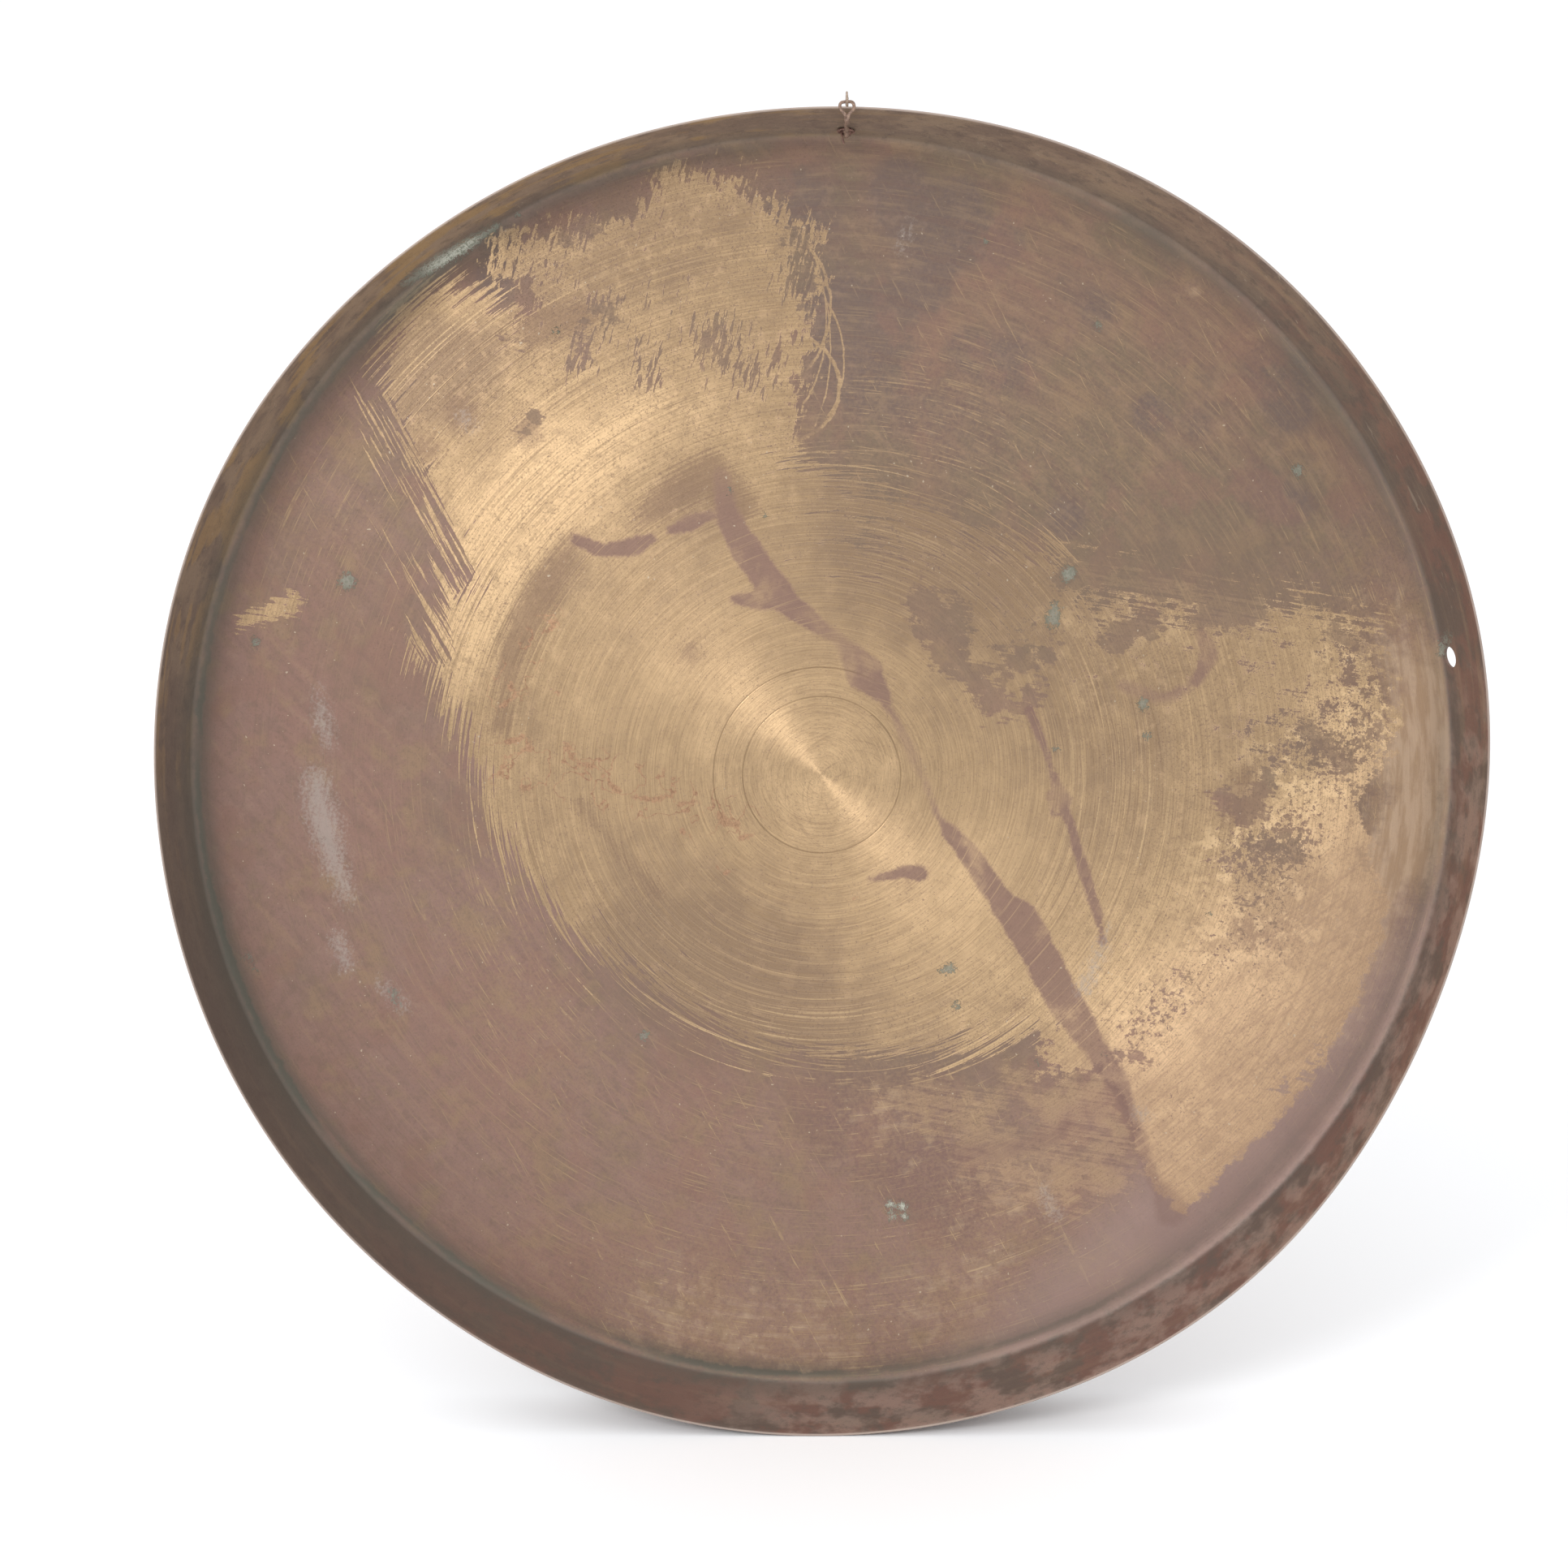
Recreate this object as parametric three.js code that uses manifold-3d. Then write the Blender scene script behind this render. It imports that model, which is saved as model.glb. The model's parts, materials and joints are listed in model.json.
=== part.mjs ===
// A tam tam gong: a shallow dish beaten from one sheet of bronze and hung by iron wire.
// Millimetres, +Z up. The origin is the middle of the struck face. Every piece is shaped with
// the dish upright, its struck face towards +Y and its hollow towards -Y, and the whole gong is
// then tipped to where it hangs at rest.
import * as THREE from 'three';
import { mergeVertices } from 'three/addons/utils/BufferGeometryUtils.js';
import Module from 'manifold-3d';

const wasm = await Module();
wasm.setup();

// The dish, measured on its outer face
const SHEET = 1.2;
const RIM_RADIUS = 300.9;
const DEPTH = 47;
const FLAT_RADIUS = 18;
const PLATE_RADIUS = 284.5;
const PLATE_CROWN = 3;
const CORNER_RADIUS = 290.8;
const WALL_FOOT = { radius: 291.9, y: -6.5 };
const WALL_BELLY = { radius: 298.8, y: -28 };
const DISH_SEGMENTS = 96;

// The hand-beaten rim isn't round: each wave has a size and the angle where it peaks
const RIM_WAVES = [
  { lobes: 1, size: 0.9, peak: 70 },
  { lobes: 2, size: 1.7, peak: 70 },
  { lobes: 3, size: 2.0, peak: 39 },
  { lobes: 4, size: 0.5, peak: 45 },
  { lobes: 5, size: 0.5, peak: 13 },
  { lobes: 6, size: 0.4, peak: 9 },
  { lobes: 7, size: 0.4, peak: 5 },
];

// The eye stands in front of the rim, so the dish hangs tipped until its weight is under the eye
const HANG_TILT = THREE.MathUtils.degToRad(8.53);

// Two hanging holes through the wall: a small one holds the wire, the larger one is bare
const HANGER_HOLE_RADIUS = 3.2;
const SPARE_HOLE_RADIUS = 4.9;
const HOLE_Y = -11.5;
const HANGER_X = 11;
const SPARE_HOLE_ANGLE = 11;

// The hanger, bent from one length of wire: an eye, a twisted stem and a hook
const WIRE_RADIUS = 0.75;
const STEM_RADIUS = 1.2;
const EYE_Y = -53;
const EYE_TOP = 302.2;
const EYE_HALF_WIDTH = 3.15;
const STEM_TOP = 296;

// The ring that hangs the eye on the stand's hook
const RING_RADIUS = 2.85;
const RING_WIRE_RADIUS = 0.65;
const RING_GAP = 0.35;

// The thin wire bound round the stem where it passes through the wall
const BINDING_WIRE_RADIUS = 0.5;
const BINDING_HALF_WIDTH = 3.9;
const BINDING_HALF_LENGTH = 2.7;
const WALL_SLOPE = THREE.MathUtils.degToRad(16);

const bronze = new THREE.MeshStandardMaterial({
  name: 'aged_bronze', color: 0x7d6552, roughness: 0.45, metalness: 0.9,
});
const rustedIron = new THREE.MeshStandardMaterial({
  name: 'rusted_iron', color: 0x8a6a55, roughness: 0.75, metalness: 0.6,
});
const copperWire = new THREE.MeshStandardMaterial({
  name: 'copper_wire', color: 0x7a4f48, roughness: 0.6, metalness: 0.8,
});

// Merges the shared corners of a closed geometry and drops triangles that have no area
function toSolid(geometry) {
  const bare = geometry.clone();
  bare.deleteAttribute('normal');
  bare.deleteAttribute('uv');
  const merged = mergeVertices(bare, 1e-4);
  const index = merged.index.array;
  const triangles = [];
  for (let i = 0; i < index.length; i += 3) {
    const [a, b, c] = index.slice(i, i + 3);
    if (a !== b && b !== c && c !== a) {
      triangles.push(a, b, c);
    }
  }
  return new wasm.Manifold(new wasm.Mesh({
    numProp: 3,
    vertProperties: merged.attributes.position.array,
    triVerts: new Uint32Array(triangles),
  }));
}

function toGeometry(solid) {
  const mesh = solid.getMesh();
  const geometry = new THREE.BufferGeometry();
  geometry.setAttribute('position', new THREE.BufferAttribute(mesh.vertProperties, 3));
  geometry.setIndex(new THREE.BufferAttribute(mesh.triVerts, 1));
  geometry.computeVertexNormals();
  return geometry;
}

function piece(name, geometry, material) {
  const mesh = new THREE.Mesh(geometry, material);
  mesh.name = name;
  return mesh;
}

// The outer face from its middle to the rim edge, as points of (radius, y)
function outerFace() {
  const face = [new THREE.Vector2(0, 0), new THREE.Vector2(FLAT_RADIUS, 0)];
  for (const share of [0.3, 0.6, 0.85]) {
    const radius = THREE.MathUtils.lerp(FLAT_RADIUS, PLATE_RADIUS, share);
    face.push(new THREE.Vector2(radius, -PLATE_CROWN * share * share));
  }
  const plateEdge = new THREE.Vector2(PLATE_RADIUS, -PLATE_CROWN);
  const wallFoot = new THREE.Vector2(WALL_FOOT.radius, WALL_FOOT.y);
  const corner = new THREE.QuadraticBezierCurve(
    plateEdge, new THREE.Vector2(CORNER_RADIUS, -PLATE_CROWN - 0.1), wallFoot);
  const wall = new THREE.QuadraticBezierCurve(
    wallFoot, new THREE.Vector2(WALL_BELLY.radius, WALL_BELLY.y), new THREE.Vector2(RIM_RADIUS, -DEPTH));
  return [...face, ...corner.getPoints(4), ...wall.getPoints(5).slice(1)];
}

// The inner face lies one sheet thickness inside the outer one
function innerFace(face) {
  return face.map((point, i) => {
    const before = face[Math.max(i - 1, 0)];
    const after = face[Math.min(i + 1, face.length - 1)];
    const along = after.clone().sub(before).normalize();
    const inner = new THREE.Vector2(point.x + along.y * SHEET, point.y - along.x * SHEET);
    return i < 2 ? new THREE.Vector2(point.x, -SHEET) : inner;
  });
}

// How far the rim stands out of round at an angle from +X towards +Z
function rimWave(angle) {
  let shift = 0;
  for (const { lobes, size, peak } of RIM_WAVES) {
    shift += size * Math.cos(lobes * (angle - THREE.MathUtils.degToRad(peak)));
  }
  return shift;
}

// The waves grow from nothing at the foot of the wall to their full size at the rim
function beatOutOfRound(geometry) {
  const position = geometry.attributes.position;
  for (let i = 0; i < position.count; i += 1) {
    const [x, y, z] = [position.getX(i), position.getY(i), position.getZ(i)];
    const growth = Math.max(0, (WALL_FOOT.y - y) / (DEPTH + WALL_FOOT.y));
    const scale = 1 + growth * rimWave(Math.atan2(z, x)) / Math.max(Math.hypot(x, z), 1);
    position.setXYZ(i, x * scale, y, z * scale);
  }
}

// A drill that cuts straight out through the wall at an angle from +X towards +Z
function wallDrill(radius, angle) {
  const drill = new THREE.CylinderGeometry(radius, radius, 30, 24);
  drill.rotateZ(-Math.PI / 2);
  drill.translate(WALL_FOOT.radius, HOLE_Y, 0);
  drill.rotateY(-angle);
  return toSolid(drill);
}

function gongDisc() {
  const face = outerFace();
  const profile = [...face, ...innerFace(face).reverse()];
  const dish = new THREE.LatheGeometry(profile.reverse(), DISH_SEGMENTS);
  beatOutOfRound(dish);
  const hangerAngle = Math.acos(HANGER_X / WALL_FOOT.radius);
  const solid = toSolid(dish)
    .subtract(wallDrill(HANGER_HOLE_RADIUS, hangerAngle))
    .subtract(wallDrill(SPARE_HOLE_RADIUS, THREE.MathUtils.degToRad(SPARE_HOLE_ANGLE)));
  return piece('gong_disc', toGeometry(solid), bronze);
}

// A round wire, eight-sided, along a smooth curve through hand-placed bends
function wireAlong(bends, radius, steps) {
  const section = new THREE.Shape().absarc(0, 0, radius, 0, Math.PI * 2);
  const route = new THREE.CatmullRomCurve3(bends.map(([x, y, z]) => new THREE.Vector3(x, y, z)));
  return new THREE.ExtrudeGeometry(section, {
    steps, curveSegments: 4, bevelEnabled: false, extrudePath: route,
  });
}

function hangerWire() {
  const left = HANGER_X - EYE_HALF_WIDTH;
  const right = HANGER_X + EYE_HALF_WIDTH;
  const eye = wireAlong([
    [HANGER_X - 0.3, EYE_Y + 0.2, STEM_TOP - 0.7],
    [left + 1.2, EYE_Y, STEM_TOP + 1.6],
    [left, EYE_Y, STEM_TOP + 4],
    [left + 1, EYE_Y, EYE_TOP - 0.8],
    [HANGER_X, EYE_Y, EYE_TOP],
    [right - 1, EYE_Y, EYE_TOP - 0.8],
    [right, EYE_Y, STEM_TOP + 4],
    [right - 1.2, EYE_Y, STEM_TOP + 1.6],
    [HANGER_X + 0.3, EYE_Y + 0.3, STEM_TOP - 0.5],
  ], WIRE_RADIUS, 32);
  const stem = wireAlong([
    [HANGER_X, EYE_Y, STEM_TOP + 0.4],
    [HANGER_X, EYE_Y + 1.5, STEM_TOP - 1.1],
    [HANGER_X, -44, 294.2],
    [HANGER_X, -28, 291.8],
    [HANGER_X, -17, 289.6],
    [HANGER_X, -12.8, 289.9],
    [HANGER_X, HOLE_Y, 291.6],
    [HANGER_X, HOLE_Y, 295.4],
  ], STEM_RADIUS, 36);
  const hook = wireAlong([
    [HANGER_X, HOLE_Y, 294.4],
    [HANGER_X, HOLE_Y - 0.6, 296.2],
    [HANGER_X, HOLE_Y - 3, 297.2],
    [HANGER_X, HOLE_Y - 7, 297.8],
    [HANGER_X, HOLE_Y - 11, 298.6],
  ], WIRE_RADIUS, 12);
  const solid = toSolid(eye).add(toSolid(stem)).add(toSolid(hook));
  return piece('hanger_wire', toGeometry(solid), rustedIron);
}

function bindingWire() {
  const loop = new THREE.TorusGeometry(BINDING_HALF_WIDTH, BINDING_WIRE_RADIUS, 8, 28);
  loop.scale(1, BINDING_HALF_LENGTH / BINDING_HALF_WIDTH, 1);
  loop.rotateX(-WALL_SLOPE);
  loop.translate(HANGER_X - 0.4, HOLE_Y - 1.2, 291);
  const tail = wireAlong([
    [HANGER_X - 2.2, HOLE_Y - 3.4, 291.4],
    [HANGER_X - 2.2, HOLE_Y - 4.2, 290.3],
    [HANGER_X - 1.6, HOLE_Y - 5, 287.6],
    [HANGER_X - 1.1, HOLE_Y - 5.2, 285.6],
  ], BINDING_WIRE_RADIUS, 10);
  return piece('binding_wire', toGeometry(toSolid(loop).add(toSolid(tail))), copperWire);
}

function hookRing() {
  const bottomOfHole = EYE_TOP - WIRE_RADIUS - RING_GAP;
  const ring = new THREE.TorusGeometry(RING_RADIUS, RING_WIRE_RADIUS, 8, 28);
  ring.rotateY(Math.PI / 2);
  ring.translate(HANGER_X, EYE_Y, bottomOfHole - RING_WIRE_RADIUS + RING_RADIUS);
  return piece('hook_ring', toGeometry(toSolid(ring)), rustedIron);
}

const gong = new THREE.Group();
gong.add(gongDisc(), hangerWire(), bindingWire(), hookRing());
gong.rotation.x = -HANG_TILT;

export default gong;
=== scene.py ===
"""Looks of a tam tam gong: a beaten bronze dish with a worn patina, hung by rusted wire.

Pieces are shaped in millimetres with the dish upright, its struck face towards +Y and its hollow
towards -Y, as the design is, and are then tipped to where the gong hangs.
"""
import json
import math
import random

import bpy
import bmesh
import numpy as np
from mathutils import Matrix, Vector


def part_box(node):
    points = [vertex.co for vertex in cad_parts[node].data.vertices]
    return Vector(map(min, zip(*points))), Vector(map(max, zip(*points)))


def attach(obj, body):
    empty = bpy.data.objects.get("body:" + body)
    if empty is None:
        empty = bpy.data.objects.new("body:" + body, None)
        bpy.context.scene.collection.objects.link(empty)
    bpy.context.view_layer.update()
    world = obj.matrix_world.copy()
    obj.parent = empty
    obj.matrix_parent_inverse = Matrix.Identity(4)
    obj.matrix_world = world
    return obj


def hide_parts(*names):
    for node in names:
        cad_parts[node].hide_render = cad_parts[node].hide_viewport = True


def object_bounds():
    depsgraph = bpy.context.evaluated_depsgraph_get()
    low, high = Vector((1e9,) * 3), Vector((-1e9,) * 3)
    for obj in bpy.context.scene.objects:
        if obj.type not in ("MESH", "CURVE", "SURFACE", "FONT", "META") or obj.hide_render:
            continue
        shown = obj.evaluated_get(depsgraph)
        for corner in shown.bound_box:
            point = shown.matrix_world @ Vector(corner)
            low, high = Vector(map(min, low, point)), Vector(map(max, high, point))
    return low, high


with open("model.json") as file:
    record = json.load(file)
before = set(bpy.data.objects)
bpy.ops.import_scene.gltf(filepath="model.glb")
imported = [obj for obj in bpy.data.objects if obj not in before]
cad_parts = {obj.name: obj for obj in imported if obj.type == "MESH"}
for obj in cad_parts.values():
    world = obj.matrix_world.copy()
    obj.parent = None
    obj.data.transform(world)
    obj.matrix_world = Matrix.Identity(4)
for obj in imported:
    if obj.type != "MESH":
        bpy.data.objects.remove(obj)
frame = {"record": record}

cad_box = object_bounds()
MM = 0.001


# ---------------------------------------------------------------- the design's driving dimensions

SHEET = 1.2
RIM_RADIUS = 300.9
DEPTH = 47.0
FLAT_RADIUS = 18.0
PLATE_RADIUS = 284.5
PLATE_CROWN = 3.0
CORNER = (290.8, -3.1)
WALL_FOOT = (291.9, -6.5)
WALL_BELLY = (298.8, -28.0)
# The rim's waves, as (lobes, size in mm, angle of a peak in degrees)
RIM_WAVES = [(1, 0.9, 70), (2, 1.7, 70), (3, 2.0, 39), (4, 0.5, 45), (5, 0.5, 13), (6, 0.4, 9), (7, 0.4, 5)]
HANGER_HOLE_RADIUS = 3.2
SPARE_HOLE_RADIUS = 4.9
HOLE_Y = -11.5
HANGER_X = 11.0
SPARE_HOLE_ANGLE = 11.0

strike_axis = next(m for m in frame["record"]["mounts"] if m["name"] == "strike_face")["axis"]
HANG_TILT = math.atan2(-strike_axis[2], strike_axis[1])
TIPPED = Matrix.Rotation(-HANG_TILT, 4, "X")


# ---------------------------------------------------------------- small helpers

def srgb(red, green, blue):
    """A display colour, 0 to 255, as the linear colour that a shader takes."""
    def linear(value):
        value /= 255
        return value / 12.92 if value <= 0.04045 else ((value + 0.055) / 1.055) ** 2.4
    return (linear(red), linear(green), linear(blue), 1.0)


def bezier(start, middle, end, steps):
    """Points of a quadratic curve, both ends included."""
    t = np.linspace(0, 1, steps + 1)[:, None]
    start, middle, end = (np.array(p, float) for p in (start, middle, end))
    return (1 - t) ** 2 * start + 2 * t * (1 - t) * middle + t ** 2 * end


def directions(route):
    """The unit direction at each point of a route."""
    along = np.gradient(route, axis=0)
    along /= np.linalg.norm(along, axis=1)[:, None]
    return along


def sleeve_faces(rows, sides):
    """Quads between rows of points, where each row closes on itself."""
    faces = []
    for row in range(rows - 1):
        for k in range(sides):
            a, b = row * sides + k, row * sides + (k + 1) % sides
            faces.append((a, b, b + sides, a + sides))
    return faces


def add_object(name, mesh, tipped=True):
    if tipped:
        mesh.transform(TIPPED)
    mesh.update()
    thing = bpy.data.objects.new(name, mesh)
    bpy.context.scene.collection.objects.link(thing)
    return thing


def mesh_from(name, points_mm, faces):
    mesh = bpy.data.meshes.new(name)
    mesh.from_pydata([tuple(p) for p in np.asarray(points_mm) * MM], [], faces)
    return mesh


# ---------------------------------------------------------------- the dish

SEGMENTS = 512
PLATE_STEP = 2.4
OUTER_STEP = 8.0
CORNER_STEPS = 8
WALL_STEPS = 12
EDGE_ROUND = 0.35
SKIN = 0.08                 # how far the fine mesh stays inside the design's faces
RIM_SHRINK = 0.15           # how much smaller the fine rim is than the design's
DENT_COUNT = 70
DENT_SEED = 7
DEEPEST_DENT = 0.7
DENT_FADE = 60              # dents fade out towards the middle, within this radius
DRILL_SIDES = 40
DRILL_LENGTH = 30
SHARP_ANGLE = 50


def outer_face():
    """The outer face from its middle to the rim, as (radius, y)."""
    radii = np.append(np.arange(0, PLATE_RADIUS, OUTER_STEP), PLATE_RADIUS)
    share = np.clip((radii - FLAT_RADIUS) / (PLATE_RADIUS - FLAT_RADIUS), 0, 1)
    plate = np.column_stack([radii, -PLATE_CROWN * share ** 2])
    corner = bezier(plate[-1], CORNER, WALL_FOOT, CORNER_STEPS)[1:]
    wall = bezier(WALL_FOOT, WALL_BELLY, (RIM_RADIUS, -DEPTH), WALL_STEPS)[1:]
    return np.vstack([plate, corner, wall])


def offset_inwards(face, distance):
    along = directions(face)
    moved = face + distance * np.column_stack([along[:, 1], -along[:, 0]])
    moved[:, 0] = np.maximum(moved[:, 0], 0)
    return moved


def dish_profile():
    """The whole section: the inner face outwards, the rounded cut edge, the outer face back."""
    outer = offset_inwards(outer_face(), SKIN)
    inner = offset_inwards(outer_face(), SHEET - SKIN)
    inner[0, 0] = 0
    plate_rows = outer_face()[:, 0] < PLATE_RADIUS - 1
    fine_radii = np.arange(0, inner[plate_rows][-1, 0], PLATE_STEP)
    fine = np.column_stack([fine_radii, np.interp(fine_radii, inner[:, 0], inner[:, 1])])
    inner = np.vstack([fine, inner[~plate_rows]])
    lip = (inner[-1] + outer[-1]) / 2
    inner[-1] += (EDGE_ROUND * 0.5, EDGE_ROUND)
    outer[-1] += (0, EDGE_ROUND)
    return np.vstack([inner, [lip], outer[::-1]])


def rim_wave(angle):
    return sum(size * np.cos(lobes * (angle - math.radians(peak))) for lobes, size, peak in RIM_WAVES)


def dents(x, z):
    """Slow unevenness of the beaten sheet, in millimetres inwards."""
    rng = random.Random(DENT_SEED)
    depth = np.zeros_like(x)
    for _ in range(DENT_COUNT):
        angle, radius = rng.uniform(0, 2 * math.pi), 285 * math.sqrt(rng.uniform(0.02, 1))
        width, deep = rng.uniform(16, 42), rng.uniform(0.04, 0.2)
        far = (x - radius * math.cos(angle)) ** 2 + (z - radius * math.sin(angle)) ** 2
        depth += deep * np.exp(-far / (2 * width ** 2))
    return np.minimum(depth, DEEPEST_DENT)


def build_dish():
    profile = dish_profile()
    rows = len(profile) - 2
    turn = np.linspace(0, 2 * math.pi, SEGMENTS, endpoint=False)
    radius, y = profile[1:-1, 0][:, None], profile[1:-1, 1][:, None]
    growth = np.clip((WALL_FOOT[1] - y) / (DEPTH + WALL_FOOT[1]), 0, 1)
    radius = radius + growth * (rim_wave(turn) - RIM_SHRINK)[None, :]
    x, z = radius * np.cos(turn), radius * np.sin(turn)
    y = y - dents(x, z) * np.clip(radius / DENT_FADE, 0, 1) * (1 - growth)
    points = np.column_stack([x.ravel(), y.ravel(), z.ravel()])
    points = np.vstack([points, [(0, profile[0, 1], 0), (0, profile[-1, 1], 0)]])
    faces = sleeve_faces(rows, SEGMENTS)
    inner_pole, outer_pole = rows * SEGMENTS, rows * SEGMENTS + 1
    last = (rows - 1) * SEGMENTS
    for k in range(SEGMENTS):
        k2 = (k + 1) % SEGMENTS
        faces.append((inner_pole, k2, k))
        faces.append((outer_pole, last + k, last + k2))
    dish = add_object("bronze_dish", mesh_from("bronze_dish", points, faces), tipped=False)
    drill_hole(dish, HANGER_HOLE_RADIUS, math.acos(HANGER_X / WALL_FOOT[0]))
    drill_hole(dish, SPARE_HOLE_RADIUS, math.radians(SPARE_HOLE_ANGLE))
    dish.data.shade_smooth()
    dish.data.set_sharp_from_angle(angle=math.radians(SHARP_ANGLE))
    return dish


def drill_hole(dish, radius, angle):
    """Cuts a hanging hole straight out through the wall."""
    out = Vector((math.cos(angle), 0, math.sin(angle)))
    drill = bmesh.new()
    bmesh.ops.create_cone(drill, cap_ends=True, segments=DRILL_SIDES, radius1=radius * MM,
                          radius2=radius * MM, depth=DRILL_LENGTH * MM)
    place = Matrix.Translation((out * WALL_FOOT[0] + Vector((0, HOLE_Y, 0))) * MM)
    drill.transform(place @ out.to_track_quat("Z", "Y").to_matrix().to_4x4())
    mesh = bpy.data.meshes.new("drill")
    drill.to_mesh(mesh)
    drill.free()
    cutter = add_object("drill", mesh, tipped=False)
    cut = dish.modifiers.new("hole", "BOOLEAN")
    cut.object = cutter
    cut.solver = "EXACT"
    bpy.context.view_layer.objects.active = dish
    bpy.ops.object.modifier_apply(modifier=cut.name)
    bpy.data.objects.remove(cutter)
    bpy.data.meshes.remove(mesh)


# ---------------------------------------------------------------- wear and stains, drawn in mm (x, z)

# Zones of metal rubbed bare, as closed outlines of (x, z): in circles on the left and in the middle, in
# short straight strokes in the upper block and at the right side, and half-polished below the middle
OUTLINES = {}
OUTLINES["swirl"] = [
    (-22, 150), (2, 146), (30, 140), (60, 127), (85, 113), (112, 101), (138, 60), (152, 10), (150, -45),
    (132, -90), (105, -118), (80, -130), (40, -138), (0, -136), (-35, -130), (-65, -116), (-95, -94),
    (-120, -72), (-138, -45), (-150, -22), (-158, 5), (-165, 25), (-176, 48), (-186, 63), (-176, 73),
    (-168, 82), (-159, 94), (-168, 108), (-178, 126), (-190, 148), (-199, 168), (-197, 190), (-194, 216),
    (-166, 222), (-146, 216), (-124, 206), (-60, 182), (-22, 172),
]
OUTLINES["block"] = [
    (-12, 146), (-10, 168), (-6, 195), (-2, 222), (-1, 247), (-14, 257), (-21, 268), (-40, 276), (-66, 276),
    (-86, 262), (-108, 254), (-138, 250), (-152, 238), (-146, 226), (-134, 218), (-144, 200), (-120, 172),
    (-60, 160),
]
OUTLINES["side"] = [
    (100, 98), (135, 104), (165, 98), (200, 90), (240, 82), (256, 76), (262, 50), (268, 22), (262, -2),
    (252, -16), (262, -36), (266, -62), (262, -84), (252, -108), (238, -136), (216, -164), (192, -189),
    (170, -208), (158, -198), (148, -176), (142, -158), (130, -138), (100, -146), (96, 40),
]
OUTLINES["low"] = [(20, -150), (60, -146), (138, -144), (154, -196), (120, -214), (80, -206), (52, -178)]
# Loops left by a rubbing cloth, as (centre x, centre z, half width, half height, least x)
LOOPS = [
    (-20, 208, 22, 44, -8), (-16, 196, 20, 46, -4), (-26, 214, 30, 36, -6), (-22, 178, 30, 26, -9),
    (-6, 190, 16, 30, 2),
]

# Marks drawn as strokes of (x, z, half width)
STROKES = {}
# Straight scratches left of the circles
STROKES["straight"] = [
    [(-206, 166, 9), (-170, 96, 8)], [(-186, 96, 7), (-176, 64, 9)], [(-200, 112, 2), (-194, 92, 2)],
]
# A pale smear of bare metal near the left wall
STROKES["smear"] = [[(-266, 70, 3), (-252, 76, 4.5), (-243, 80, 4.5)]]
# Brown runs where something dripped
STROKES["stain"] = [
    [(-46, 138, 3), (-43, 118, 6), (-34, 104, 7), (-26, 92, 7), (-16, 80, 6.5), (-2, 69, 3.5), (8, 63, 2.5),
     (14, 56, 5), (20, 47, 8), (28, 37, 4.5), (33, 28, 2), (40, 14, 1.6), (47, -2, 1.4), (54, -20, 1.8),
     (60, -28, 4), (72, -42, 4.5), (82, -56, 6), (91, -67, 9), (102, -86, 9), (112, -104, 8),
     (124, -122, 7), (132, -134, 6.5), (139, -146, 4.6), (145, -160, 3), (151, -178, 2.6), (157, -194, 3.6),
     (164, -206, 8)],
    [(-40, 81, 2), (-22, 81, 5)],
    [(96, 30, 2.4), (104, 10, 2.2), (108, -4, 1.6), (114, -20, 2.2), (120, -40, 2.6), (127, -62, 2.2),
     (131, -78, 2.4)],
    [(105, -9, 0.4), (109, -7, 0.6), (114, -11, 0.9), (113, -18, 0.7), (107, -19, 0.4), (105, -9, 0.4)],
    [(-112, 108, 3), (-100, 104, 3.8), (-86, 106, 4.6), (-78, 109, 3)],
    [(-69, 113, 2), (-60, 116, 3.6), (-50, 120, 3)], [(46, -46, 4.5), (38, -46, 3), (22, -49, 0.8)],
    [(138, 42, 2), (150, 37, 3), (160, 37, 2.4), (166, 40, 2)],
    [(172, 44, 3), (178, 56, 3.6), (174, 66, 2.6)],
    [(64, -180, 3), (84, -178, 4.5), (108, -172, 3), (116, -164, 2)],
]
# Orange, copper-coloured dribbles
STROKES["dribble"] = [
    [(-151, -4, 0.8), (-147, 4, 1.5)], [(-145, 45, 0.8), (-141, 37, 1.3), (-147, 32, 0.8)],
    [(-148, 14, 0.8), (-138, 18, 1), (-134, 12, 0.8), (-146, 8, 1.1)],
    [(-128, 73, 0.7), (-122, 70, 1.5), (-127, 66, 0.7)],
    [(-118, 14, 0.8), (-112, 5, 1.3), (-104, 4, 0.8), (-98, -4, 1.5), (-93, -8, 0.9)],
    [(-125, 40, 0.8), (-120, 38, 1)],
    [(-88, -10, 0.7), (-78, -12, 1.3), (-70, -9, 0.8), (-66, -14, 1), (-58, -12, 0.7), (-55, -18, 0.9)],
    [(-50, -16, 0.7), (-44, -22, 2.4), (-38, -24, 1)], [(-38, -30, 0.7), (-32, -28, 1)],
    [(-64, -26, 1), (-60, -30, 0.8)], [(-50, -42, 0.8), (-44, -46, 1)], [(12, -60, 0.7), (18, -56, 1)],
]
# Where finer copper-coloured traces wander over the polish
STROKES["copper"] = [
    [(-146, 38, 9), (-124, 74, 5)], [(-150, 6, 10), (-110, 0, 14), (-78, -10, 13), (-36, -20, 9)],
]
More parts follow.
